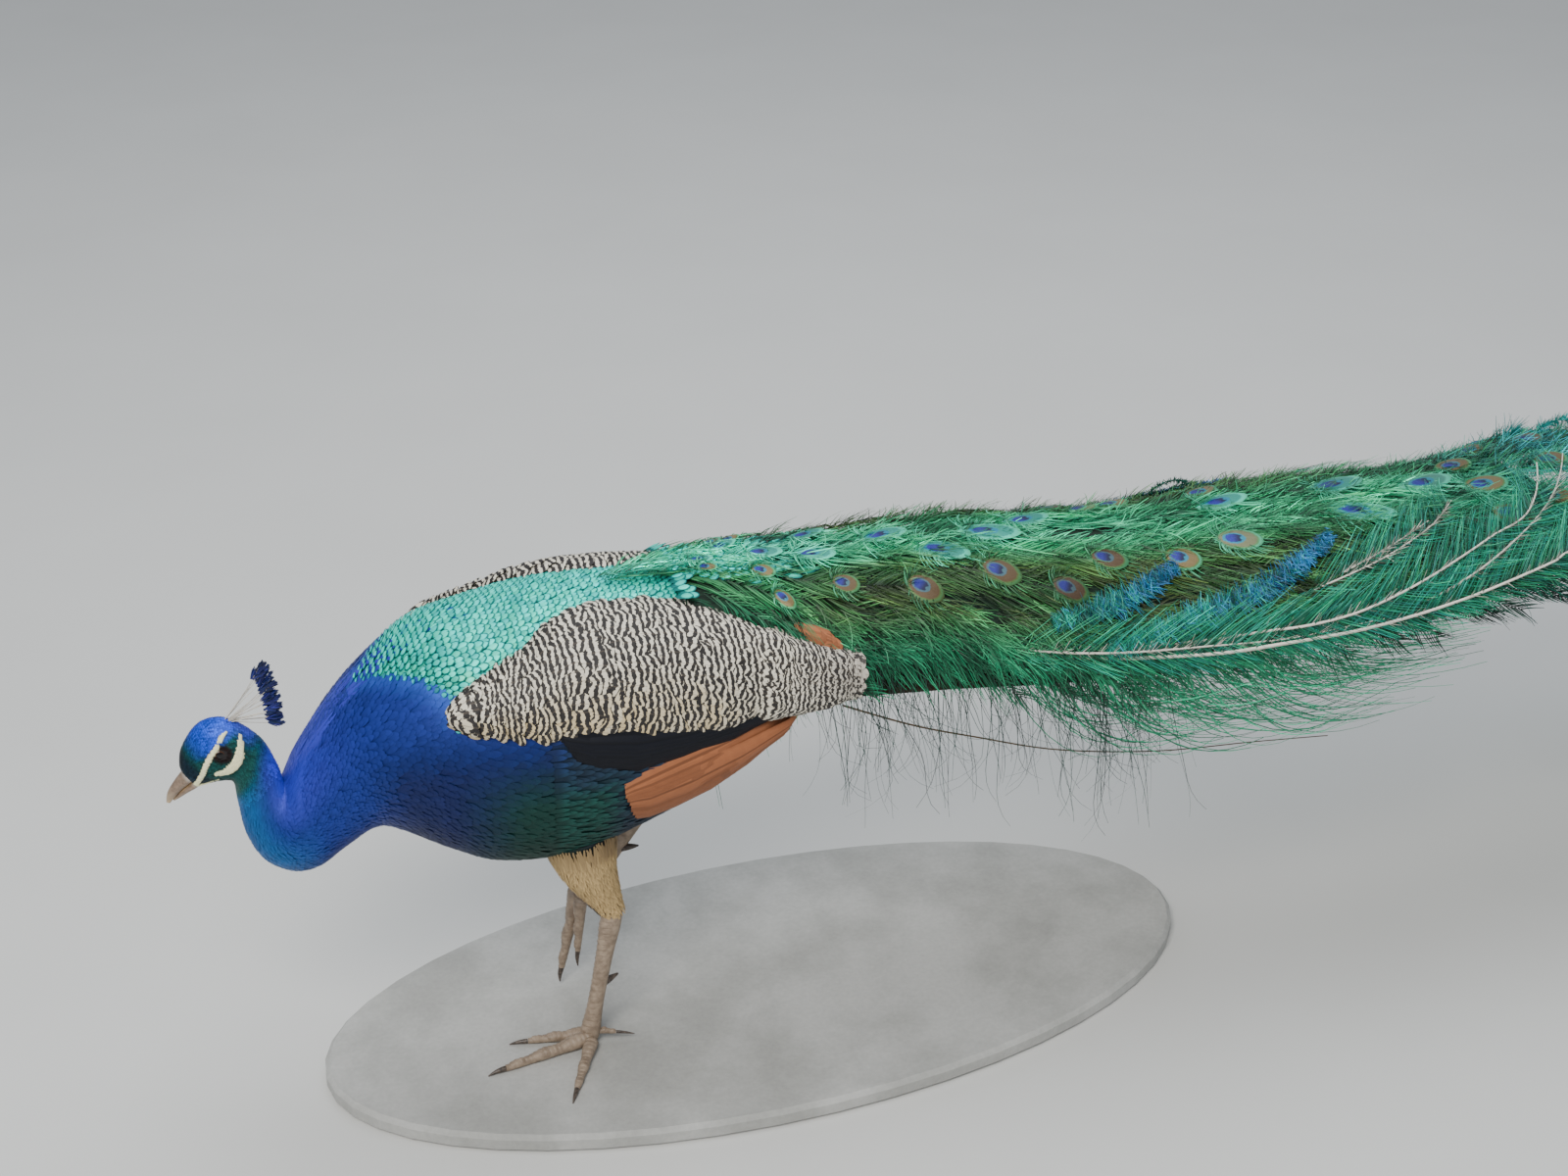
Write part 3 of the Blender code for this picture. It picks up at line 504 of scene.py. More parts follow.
def vanes(
    surface, row, column, length, width, ground, form=SCALE_FORM, ribs=3, heading=0.0,
    root=-0.002, tip=0.0, camber=0.18, seed=1,
):
    """Feathers rooted at (row, column) on a surface, as a dict of grids for join_vanes.

    width is the half width, heading turns the feather off the rows' run, root and tip are
    heights over the surface, and camber crowns the vane.
    """
    rng = draws(seed)
    count = len(row)
    forward, fullness = np.array(form).T
    spread = np.linspace(-1.0, 1.0, ribs)

    row, column, length, width, heading, root, tip, camber = per_feather(
        count, 2, row, column, length, width, heading, root, tip, camber,
    )
    v = np.broadcast_to(forward[None, :, None], (count, len(form), ribs))
    s = np.broadcast_to(spread[None, None, :], v.shape)
    run = v * length
    side = s * width * fullness[None, :, None]
    down = surface.read(surface.row_pitch, row, column)
    wide = surface.read(surface.column_pitch, row, column)
    rows = row + (run * np.cos(heading) - side * np.sin(heading)) / down
    columns = column + (run * np.sin(heading) + side * np.cos(heading)) / wide
    height = root + (tip - root) * v + camber * width * (1.0 - s * s) * fullness[None, :, None]
    height = height + rng.uniform(-UNEVEN, UNEVEN, (count, 1, 1))
    u = row / surface.rows * 0.98 + 0.01 + s * PATCH
    w = np.mod(column / surface.columns, 1.0) * 0.98 + 0.01 + (v * 2.0 - 1.0) * PATCH
    points = surface.at(rows, columns, height)
    return strands(points, s, v, rng, side, run, stacked(u, w), ground)


def strands(points, s, v, rng, side, reach, bake, ground):
    """Grids of points with what their finishes read there, as a dict for join_vanes."""
    chance = rng.random((len(points), 1, 1))
    ground = np.asarray(ground, float)
    ground = ground[:, :, None, :] if ground.ndim == 3 else ground[:, None, None, :]
    return {
        "points": points,
        "vane": stacked(s, v, chance),
        "measure": stacked(side, reach, chance),
        "bake": bake,
        "ground": np.broadcast_to(ground, (*v.shape, 3)),
    }


def line_strands(lines, points, s, v, seed, side, bake, ground):
    """Strands along lines of points (count, steps, 3), each with a small patch of the bake map."""
    reach = np.linalg.norm(np.diff(lines, axis=1), axis=-1).sum(axis=1)[:, None, None] * v
    patch = np.asarray(bake, float)[:, None, None, :] + stacked(s, v * 2.0 - 1.0) * PATCH
    return strands(points, s, v, draws(seed), side, reach, patch, ground)


def ribbons(lines, sides, width, ground, bake, seed=1, taper=0.25):
    """Barbs as flat ribbons along lines of points (count, steps, 3), in the same form as vanes."""
    count, steps = lines.shape[:2]
    v = np.broadcast_to(evenly(steps)[None, :, None], (count, steps, 2))
    s = np.broadcast_to((-1.0, 1.0), v.shape)
    half = per_feather(count, 2, width)[0] * (1.0 - (1.0 - taper) * v**1.5) / 2.0
    points = lines[:, :, None, :] + sides[:, :, None, :] * (s * half)[..., None]
    return line_strands(lines, points, s, v, seed, s * half, bake, ground)


def grid_faces(count, steps, ribs, first):
    """Quads over count grids of points that are stored one after another."""
    corner = (np.arange(steps - 1)[:, None] * ribs + np.arange(ribs - 1)[None, :]).ravel()
    quad = stacked(corner, corner + 1, corner + ribs + 1, corner + ribs)
    starts = first + np.arange(count) * steps * ribs
    return (starts[:, None, None] + quad[None, :, :]).reshape(-1, 4)


def keep_data(mesh, label, values):
    """Store a vector at each of a mesh's points, or a colour where the label is ground."""
    kind, key = "FLOAT_VECTOR", "vector"
    if label == "ground":
        kind, key = "FLOAT_COLOR", "color"
        values = stacked(*values.T, 1.0)
    layer = mesh.attributes.new(label, kind, "POINT")
    layer.data.foreach_set(key, values.astype(np.float32).ravel())


def points_of(mesh):
    return np.array([vert.co for vert in mesh.vertices])


def mesh_from(name, points, faces, fields):
    """A mesh from arrays, with point attributes and the bake map."""
    mesh = bpy.data.meshes.new(name)
    mesh.vertices.add(len(points))
    mesh.vertices.foreach_set("co", points.astype(np.float32).ravel())
    mesh.loops.add(faces.size)
    mesh.loops.foreach_set("vertex_index", faces.astype(np.int32).ravel())
    mesh.polygons.add(len(faces))
    mesh.polygons.foreach_set("loop_start", np.arange(0, faces.size, 4, dtype=np.int32))
    mesh.update(calc_edges=True)
    for label, values in fields.items():
        if label == "bake":
            layer = mesh.uv_layers.new(name="OFBake")
            layer.data.foreach_set("uv", values[faces.ravel()].astype(np.float32).ravel())
        else:
            keep_data(mesh, label, values)
    mesh.shade_smooth()
    return mesh


def join_vanes(name, parts, finish, replaces=()):
    """One piece out of several groups of vanes."""
    faces = []
    fields = {label: [] for label in parts[0]}
    first = 0
    for part in parts:
        count, steps, ribs = part["points"].shape[:3]
        faces.append(grid_faces(count, steps, ribs, first))
        first += count * steps * ribs
        for label, values in part.items():
            fields[label].append(values.reshape(-1, values.shape[-1]))
    fields = {label: np.concatenate(values) for label, values in fields.items()}
    points = fields.pop("points")
    mesh = mesh_from(name, points, np.concatenate(faces), fields)
    place(name, mesh, finish, replaces)


def add(name, data):
    """A new object in the scene."""
    added = bpy.data.objects.new(name, data)
    bpy.context.scene.collection.objects.link(added)
    return added


def place(name, mesh, finish, replaces=()):
    """A finished mesh as a piece of the bird."""
    mesh.name = name
    mesh.materials.clear()
    mesh.materials.append(finish)
    piece = add(name, mesh)
    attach(piece, "root")
    if replaces:
        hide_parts(*replaces)


# ---- skins grown from a grid


def grown(rows, columns, where):
    """A bmesh grid wrapped to the points that where(down, round) gives, each from 0 to 1."""
    shape = bmesh.new()
    bmesh.ops.create_grid(shape, x_segments=rows, y_segments=columns, size=1.0)
    places = np.array([vert.co[:2] for vert in shape.verts]) / 2.0 + 0.5
    for vert, point in zip(shape.verts, where(places[:, 0], places[:, 1])):
        vert.co = point
    bmesh.ops.remove_doubles(shape, verts=shape.verts, dist=1e-6)
    bmesh.ops.recalc_face_normals(shape, faces=shape.faces)
    return shape


def mesh_of(shape, name):
    """A bmesh turned into a smooth mesh."""
    mesh = bpy.data.meshes.new(name)
    shape.to_mesh(mesh)
    shape.free()
    mesh.shade_smooth()
    return mesh


def closed_grown(surface, rows, columns, height=0.0):
    """A closed skin at a height over a surface, its two ends drawn to a point."""

    def where(down, round_):
        row, column = down * (surface.rows - 1), round_ * surface.columns
        points = surface.at(row, column, height(row, column) if callable(height) else height)
        for end, at in ((0, down < 1e-6), (surface.rows - 1, down > 1.0 - 1e-6)):
            points[at] = surface.points[end].mean(axis=0)
        return points

    return grown(rows, columns, where)


# ---- finishes


class Field:
    """A value or a colour worked out at each point of a surface by shader nodes."""

    def __init__(self, tree, socket):
        self.tree = tree
        self.socket = socket

    def do(self, operation, *others):
        inputs = dict(enumerate((self, *others)))
        return wired(self.tree, "Math", inputs, operation=operation)

    def __add__(self, other):
        return self.do("ADD", other)

    def __sub__(self, other):
        return self.do("SUBTRACT", other)

    def __mul__(self, other):
        return self.do("MULTIPLY", other)

    def __rsub__(self, other):
        return (self * -1.0) + other

    def sine(self):
        return self.do("SINE")

    def size(self):
        return self.do("ABSOLUTE")

    def power(self, exponent):
        return self.do("POWER", exponent)

    def between(self, low, high):
        """0 below low and 1 above high, or the reverse where low is above high."""
        ends = (1.0, 0.0) if low > high else (0.0, 1.0)
        inputs = {
            "Value": self, "From Min": min(low, high), "From Max": max(low, high),
            "To Min": ends[0], "To Max": ends[1],
        }
        return wired(self.tree, "MapRange", inputs, "Result", interpolation_type="SMOOTHSTEP")


def wired(tree, kind, inputs, output=0, **settings):
    """A field out of a new shader node, whose inputs are fields, numbers or colours."""
    node = tree.nodes.new("ShaderNode" + kind)
    for name, value in settings.items():
        setattr(node, name, value)
    for key, value in inputs.items():
        if isinstance(value, Field):
            tree.links.new(value.socket, node.inputs[key])
        else:
            node.inputs[key].default_value = (*value, 1.0) if isinstance(value, tuple) else value
    return Field(tree, node.outputs[output])


class Finish:
    """One material, its colour and relief worked out from fields."""

    def __init__(self, name, **sockets):
        self.material = bpy.data.materials.new(name)
        self.material.use_nodes = True
        self.tree = self.material.node_tree
        self.shader = self.tree.nodes["Principled BSDF"]
        for label, value in sockets.items():
            socket = label.replace("_", " ").title().replace("Ior", "IOR")
            self.shader.inputs[socket].default_value = value

    def kept(self, name, output="Vector"):
        """What the mesh keeps at each point under a name."""
        return wired(self.tree, "Attribute", {}, output, attribute_name=name)

    def ground(self):
        return self.kept("ground", "Color")

    def split(self, vector, axes):
        """Some of a vector's parts, X, Y and Z: a field for one, a list for more."""
        parts = wired(self.tree, "SeparateXYZ", {0: vector}).socket.node.outputs
        fields = [Field(self.tree, parts[axis]) for axis in axes]
        return fields if len(fields) > 1 else fields[0]

    def part(self, name, axes):
        return self.split(self.kept(name), axes)

    def here(self):
        """The point on the object."""
        return wired(self.tree, "TexCoord", {}, "Object")

    def vector(self, *fields):
        return wired(self.tree, "CombineXYZ", dict(enumerate(fields)))

    def noise(self, scale, detail=2.0, roughness=0.55, at=None):
        at = self.here() if at is None else at
        inputs = {"Vector": at, "Scale": scale, "Detail": detail, "Roughness": roughness}
        return wired(self.tree, "TexNoise", inputs, "Fac")

    def mix(self, weight, under, over, kind="MIX"):
        """A colour between two."""
        inputs = {0: weight, 6: under, 7: over}
        return wired(self.tree, "Mix", inputs, 2, data_type="RGBA", blend_type=kind)

    def over(self, colour, *layers):
        """A colour with others mixed over it in turn, each given as (weight, colour)."""
        for weight, tone in layers:
            colour = self.mix(weight, colour, tone)
        return colour

    def shade(self, colour, factor):
        """A colour made darker or lighter by a field that is 1 where it stays."""
        return self.mix(1.0, colour, self.vector(factor, factor, factor), "MULTIPLY")

    def finish(self, colour, relief=None, depth=0.0005, strength=0.5, rough=None):
        """The material, with its colour, and its relief and roughness where they are given."""
        reached = {"Base Color": colour, "Roughness": rough}
        if relief is not None:
            inputs = {"Strength": strength, "Distance": depth, "Height": relief}
            reached["Normal"] = wired(self.tree, "Bump", inputs, "Normal")
        for label, field in reached.items():
            if field is not None:
                self.tree.links.new(field.socket, self.shader.inputs[label])
        return self.material

    def barbs(self, pitch, slant=1.0):
        """Fine lines that leave the shaft aslant, from 0 to 1."""
        across, onward = self.part("measure", "XY")
        wobble = self.noise(300.0) * (pitch * 1.2)
        return ((onward - across.size() * slant + wobble) * (CIRCLE / pitch)).sine() * 0.5 + 0.5


def plumage_finish(name, pitch, glow=0.30, roughness=0.5, edge=0.1, relief=0.2):
    """Body feathers: their ground colour, fine barbs, a slightly paler rim and a tinted sheen."""
    made = Finish(name, roughness=roughness, metallic=glow, specular_ior_level=0.25)
    barbs = made.barbs(pitch)
    onward, chance = made.part("vane", "YZ")
    mottle = made.noise(70.0)
    tone = barbs * 0.22 + 0.62 + chance * 0.16 + mottle * 0.24 + onward.between(0.62, 0.95) * edge
    return made.finish(made.shade(made.ground(), tone), barbs, depth=0.0002, strength=relief)


def back_finish():
    """Back scales: a bright mint crescent in turquoise, inside a dark teal rim."""
    made = Finish("back_scale_finish", roughness=0.48, metallic=0.45, specular_ior_level=0.2)
    side, onward, chance = made.part("vane", "XYZ")
    barbs = made.barbs(0.0006)
    reach = ((onward - 0.60) * 2.4).power(2.0) + side * side * 0.95
    colour = made.mix(reach.between(0.38, 0.05) * chance * 0.65, made.ground(), BACK_MINT)
    colour = made.shade(colour, chance * 0.60 + 0.72 + barbs * 0.15)
    colour = made.mix(reach.between(0.44, 0.80) * 0.92, colour, BACK_RIM)
    return made.finish(colour, barbs, depth=0.0002, strength=0.3)


def barred_finish():
    """Wing coverts: cream, greyer to the rear, with wavy black bars across the vanes."""
    made = Finish("barred_covert_finish", roughness=0.62)
    across, onward, chance = made.part("measure", "XYZ")
    phase, grey, pace = made.part("banding", "XYZ")
    wave = made.noise(75.0) - 0.5
    wander = made.noise(420.0) - 0.5
    own = made.noise(260.0, at=made.vector(across, onward, chance * 9.0)) - 0.5
    lean = across.size() * 0.20 - across * (chance - 0.5) * 0.8
    bent = lean + wave * 0.0065 + wander * 0.0030 + own * 0.0030
    black = (phase + (chance - 0.5) * 1.9 + bent * pace).sine().between(-0.30, 0.04)
    speckle = made.noise(1500.0, 3.0) - 0.5
    black = black * (1.0 - grey * 0.40) + speckle * 0.30
    barbs = made.barbs(0.0007)
    colour = made.over(
        made.shade(made.ground(), barbs * 0.18 + 0.88),
        (black.between(0.15, 0.72), BAR_BLACK),
        (across.size().between(0.0006, 0.0002) * 0.4, SHAFT_BROWN),
    )
    return made.finish(colour, barbs, depth=0.0002, strength=0.25)


def flight_finish(name, metallic=0.0):
    """Flight feathers: a pale-edged shaft, slanting barbs and a slightly worn rim."""
    made = Finish(name, roughness=0.55, metallic=metallic, specular_ior_level=0.25)
    across = made.part("measure", "X")
    side, chance = made.part("vane", "XZ")
    barbs = made.barbs(0.0009, 1.3)
    shaft = across.size().between(0.0012, 0.0006)
    streak = made.noise(160.0, 3.0)
    worn = side.size().between(0.80, 1.0)
    tone = barbs * 0.28 + 0.55 + chance * 0.30 + streak * 0.35 - worn * 0.20
    colour = made.shade(made.ground(), tone)
    colour = made.mix(shaft * 0.75, colour, made.shade(made.ground(), 1.0 - chance * 0.6))
    return made.finish(colour, barbs + shaft * 2.0, depth=0.0003, strength=0.4)


def barb_finish(name, roughness=0.45, metallic=0.3):
    """Loose barbs: their ground colour, with painted glints and darks along each one."""
    made = Finish(name, roughness=roughness, metallic=metallic)
    onward, chance = made.part("measure", "YZ")
    glint = made.noise(60.0, at=made.vector(onward, chance * 5.0, 0.0))
    beads = (onward * 7000.0).sine() * 0.5 + 0.5
    tone = glint * 1.5 + chance * 0.60 + beads * 0.12
    return made.finish(made.shade(made.ground(), tone), beads, depth=0.0001, strength=0.3)


def eye_feather_finish():
    """The train's eyes: violet-blue, turquoise, bronze and green, ring within ring, darker in
    painted shade on the sides and mint on the ridge, partly painted sheen.
    """
    made = Finish("train_eye_finish", roughness=0.40, metallic=0.35)
    onward, side, shadow = made.part("eye", "XYZ")
    chance = made.part("vane", "Z")
    fray = (made.noise(420.0, 3.0) - 0.5) * 0.16

    def ring(centre, stretch):
        return (((onward - centre) * stretch).power(2.0) + side * side).power(0.5) + fray

    inner, outer, notch = ring(-0.18, 0.95), ring(0.0, 0.92), ring(0.22, 1.1)
    # Painted shade by how dark each eye is; mint for the ridge's eyes, partly painted sheen.
    dark, mint = shadow.between(0.0, 1.0), shadow.between(-0.1, -0.9)
    rim = made.over(
        RIM_GREEN, (chance * 0.8, RIM_LIME), (dark * 0.9, made.ground()), (mint, RIM_MINT),
    )
    colour = made.over(
        made.ground(),
        (outer.between(1.02, 0.84), rim),
        (outer.between(0.90, 0.80) * (1.0 - mint), RING_OLIVE),
        (outer.between(0.82, 0.72), made.over(BRONZE, (dark, BRONZE_SHADE), (mint, BRONZE_MINT))),
        (inner.between(0.52, 0.45) * (1.0 - dark * 0.6), RING_TURQUOISE),
        (
            inner.between(0.41, 0.34) * (1.0 - notch.between(0.20, 0.12)),
            made.mix(onward.between(-0.34, 0.06), CORE_VIOLET, CORE_DARK),
        ),
    )
    turn = (onward * 0.5 + side.size()) * 95.0
    barbs = (turn + fray * 40.0).sine() * 0.5 + 0.5
    tone = (barbs * 0.30 + 0.72 + chance * 0.25) * (1.0 - dark * 0.42)
    return made.finish(made.shade(colour, tone), barbs, depth=0.0002, strength=0.35)


def skin_finish():
    """The skin under the coat, darkened as painted shade between the feathers, with fine pores."""
    made = Finish("under_skin_finish", roughness=0.7)
    pores = made.noise(900.0, 3.0)
    # Painted shade: the ground colour at a quarter to three quarters of its brightness.
    colour = made.shade(made.ground(), pores * 0.5 + 0.25)
    return made.finish(colour, pores, depth=0.0004, strength=0.6)


def bare_finish(name, dark, pale, scale, roughness, spots=0.5, **sockets):
    """Bare horn, scutes or skin: two tones mottled at a scale, with fine grain."""
    made = Finish(name, roughness=roughness, **sockets)
    mottle = made.noise(scale, 4.0, 0.6)
    grain = made.noise(scale * 9.0, 3.0, 0.6)
    colour = made.mix(mottle.between(0.30, 0.70), dark, pale)
    colour = made.shade(colour, grain * spots + 1.0 - spots * 0.5)
    rough = mottle * 0.25 + (roughness - 0.12)
    return made.finish(colour, grain, depth=0.0003, strength=0.35, rough=rough)


# ---- head, neck and body

BODY = body_surface()


def head_place(points):
    """How far ahead and how high in the head's own frame."""
    offset = points - HEAD_CENTRE
    return offset @ HEAD_AHEAD, offset @ HEAD_CROWN


# The bare skin over the eye, along the gape and on the cheek, as (ahead, up, half width).
BROW_STRIPE = (
    (0.0375, -0.0035, 0.0026), (0.026, 0.0025, 0.0024), (0.012, 0.0112, 0.0024),
    (-0.001, 0.0155, 0.0022),
)
BROW_END = ((-0.0055, 0.0172, 0.0019), (-0.0095, 0.0180, 0.0018), (-0.0135, 0.0176, 0.0014))
GAPE_LINE = ((0.0375, -0.0052, 0.0009), (0.030, -0.0085, 0.0010), (0.020, -0.0112, 0.0008))
CHEEK_CRESCENT = (
    (0.0165, -0.0045, 0.0022), (0.008, -0.0075, 0.0042), (-0.003, -0.0062, 0.0046),
    (-0.012, -0.0005, 0.0034), (-0.019, 0.0065, 0.0016),
)


def bare_share(points):
    """1 on the head's bare pale skin, 0 elsewhere."""
    ahead, up = head_place(points)
    bare = np.zeros(len(points), bool)
    for strip in (BROW_STRIPE, BROW_END, GAPE_LINE, CHEEK_CRESCENT):
        stations = smoothed(strip, 6)
        gap = np.hypot(ahead[:, None] - stations[:, 0], up[:, None] - stations[:, 1])
        bare |= (gap / stations[:, 2]).min(axis=1) < 1.0
    return (bare & (points[:, 0] < FACE_REAR)).astype(float)


def eye_gap(points):
    """The distance to the nearer eye's middle."""
    offset = np.abs(points - np.array((EYE_CENTRE[0], 0.0, EYE_CENTRE[2])))
    offset[:, 1] -= EYE_CENTRE[1]
    return np.linalg.norm(offset, axis=1)


# The mantle's edge with the barred wing, as (x, distance from the middle line).
BACK_HALF_WIDTH = (
    (-0.300, 0.090), (-0.278, 0.074), (-0.241, 0.062), (-0.206, 0.054), (-0.166, 0.040),
    (-0.130, 0.034), (-0.090, 0.040), (-0.050, 0.060),
)


def back_share(points):
    """Above 0 on the scaly green back, which begins on a curve behind the blue neck."""
    side = np.abs(points[:, 1])
    behind = points[:, 0] - np.minimum(-0.370 + 0.95 * side, -0.302)
    return np.where(points[:, 2] > 0.400, behind, -1.0)


def body_ground(row, column):
    """The colour of the coat and of the skin under it, by place on the body."""
    section = row / SECTION_STEPS
    points = BODY.at(row, column)
    x, high = points[:, 0], points[:, 2]
    up = np.sin(CIRCLE * column / BODY_COLUMNS)
    ahead, crown = head_place(points)
    flank = eased(x, -0.255, -0.215) * eased(high, 0.315, 0.355)
    edge = back_share(points)
    head = layered(
        CHEEK_TEAL,
        (CROWN_BLUE, eased(crown, 0.0115, 0.0180) * eased(ahead, 0.027, 0.006)),
        # Painted sheen on the nape.
        (NECK_VIOLET_SHEEN, eased(ahead, -0.012, -0.027) * eased(crown, -0.012, 0.006)),
        (LORE_DARK, eased(ahead, 0.022, 0.031)),
        (EYE_PATCH, eased(eye_gap(points), EYE_RADIUS * 1.9, EYE_RADIUS * 1.3)),
    )
    return layered(
        NECK_BLUE,
        # Painted sheen along the upper side of the neck.
        (NECK_VIOLET_SHEEN, eased(up, 0.1, 0.9) * eased(section, 11.5, 8.5)),
        (FRONT_TURQUOISE, eased(-up, -0.35, 0.6) * eased(section, 9.5, 7.0)),
        (CHEEK_TEAL, 0.60 * eased(section, 5.2, 4.1) * eased(up, 0.55, -0.1)),
        (BREAST_BLUE, eased(section, 10.3, 12.0) * eased(up, 0.75, 0.0)),
        (BELLY_GREEN, eased(x, -0.320, -0.260) * eased(high, 0.385, 0.320)),
        (FLANK_BLACK, np.maximum(flank, eased(x, -0.205, -0.175))),
        (EDGE_BLUE, eased(edge, -0.022, -0.004)),
        (BACK_GREEN, eased(edge, -0.002, 0.004)),
        (head, eased(section, 4.6, 3.7)),
        (SKIN_PALE, bare_share(points)),
    )


def coat_depth(row):
    return along(row / SECTION_STEPS, COAT_DEPTH)


def feather_pitch(row):
    return float(along(row / SECTION_STEPS, FEATHER_PITCH))


def body_coat(name, first, last, finish, seed, slim=0.62, long=3.8, spread=0.10):
    """Plumage between two sections, clear of the eyes, the bare skin and what lies on the body.

    slim and long are the feathers' half width and length as shares of their pitch, and spread is
    how much their colours differ.
    """
    rng = draws(seed)
    row, column = BODY.staggered(first + 0.5, last, feather_pitch, seed=seed, loose=0.2)
    points = BODY.at(row, column)
    keep = (eye_gap(points) > EYE_RADIUS * 1.25) & (bare_share(points) < 0.5)
    keep = keep & open_coat(points, column)
    row, column = row[keep], column[keep]
    pitch = along(row / SECTION_STEPS, FEATHER_PITCH)
    ground = body_ground(row, column) * rng.uniform(1.0 - spread, 1.0 + spread, (len(row), 1))
    part = vanes(
        BODY, row, column, pitch * long, pitch * slim, ground,
        heading=rng.normal(0.0, 0.09, len(row)), root=-coat_depth(row) * 0.95,
        tip=coat_depth(row) * 0.05, camber=0.06, seed=seed,
    )
    join_vanes(name, [part], finish)


# How deep the thighs' skin lies under their tufts.
THIGH_DEPTH = -0.004


def make_skin():
    """One skin for the head, neck and body, with the thighs grown into it."""

    def height(row, column):
        bare = bare_share(BODY.at(row, column))
        socket = eased(eye_gap(BODY.at(row, column)), EYE_RADIUS * 1.25, EYE_RADIUS * 0.9)
        return -coat_depth(row) + bare * 0.0012 - socket * 0.0012

    body = add("skin_body", mesh_of(closed_grown(BODY, 300, 96, height), "skin"))
    helpers = [body]
    for label, surface in THIGHS.items():
        thigh = add("skin_" + label, mesh_of(closed_grown(surface, 40, 24, THIGH_DEPTH), label))
        helpers.append(thigh)
        union = body.modifiers.new(label, "BOOLEAN")
        union.operation = "UNION"
        union.solver = "EXACT"
        union.object = thigh
    graph = bpy.context.evaluated_depsgraph_get()
    mesh = bpy.data.meshes.new_from_object(body.evaluated_get(graph))
    for helper in helpers:
        bpy.data.objects.remove(helper)
    keep_data(mesh, "ground", skin_ground(points_of(mesh)))
    mesh.shade_smooth()
    nodes = ("head", "neck_upper", "neck_middle", "neck_lower", "breast", "trunk", "rump")
    nodes += ("thigh_left", "thigh_right")
    place("skin", mesh, skin_finish(), nodes)


def skin_ground(points):
    """The skin's colour at free points: that of the nearest place on the body or a thigh."""
    grid = BODY.points.reshape(-1, 3)
    finder = KDTree(len(grid))
    for index, place_at in enumerate(grid):
        finder.insert(place_at, index)
    finder.balance()
    nearest = np.array([finder.find(point)[1] for point in points])
    row = (nearest // BODY.columns).astype(float)
    column = (nearest % BODY.columns).astype(float)
    colour = body_ground(row, column)
    bare = bare_share(points)
    # Bare skin is set 2.2 times lighter, which offsets the painted shade of the skin's finish.
    colour = np.where(bare[:, None] > 0.5, np.array(SKIN_PALE) * 2.2, colour)
    low = (points[:, 2] < 0.235) & (points[:, 0] > -0.25)
    gap = np.linalg.norm(points - grid[nearest], axis=1)
    thigh = low & (gap > 0.006)
    return np.where(thigh[:, None], np.array(THIGH_BUFF) * 0.8, colour)


def open_coat(points, column):
    """True where the body's coat shows, and not where a wing or the train lies on it."""
    angle = np.degrees(CIRCLE * column / BODY_COLUMNS)
    angle = np.where(angle > 90.0, 180.0 - angle, angle)
    x = points[:, 0]
    wing = (x > -0.262) & (angle > 24.0) & (x < 0.0)
    layers = (x > -0.150) & (angle > -8.0)
    train = (x > -0.070) & (angle > 0.0)
    return ~(wing | layers | train) & (back_share(points) < -0.001)


def make_body_coats():
    """The small plumes of the head, the neck, the breast and the belly."""
    velvet = plumage_finish("velvet_plumage_finish", 0.0005, 0.35)
    crown = plumage_finish("crown_plumage_finish", 0.0004, 0.30, 0.45, edge=0.45)
    belly = plumage_finish("belly_plumage_finish", 0.0008, 0.25, 0.55, edge=0.9)
    throat, shoulder, bow = SECTION["throat"], SECTION["shoulder"], SECTION["wing_bow"] + 4
    end = SECTION["tail_root"] - 2
    body_coat("head_feathers", 0, throat, crown, 11, long=2.6, spread=0.38)
    body_coat("neck_feathers", throat, shoulder, velvet, 12)
    body_coat("breast_feathers", shoulder, bow, velvet, 13)
    body_coat("belly_feathers", bow, end, belly, 14, slim=0.46, long=4.4)


SCALE_PITCH = 0.0055
SCALE_LENGTH = 0.0128
SCALE_HALF_WIDTH = 0.0036


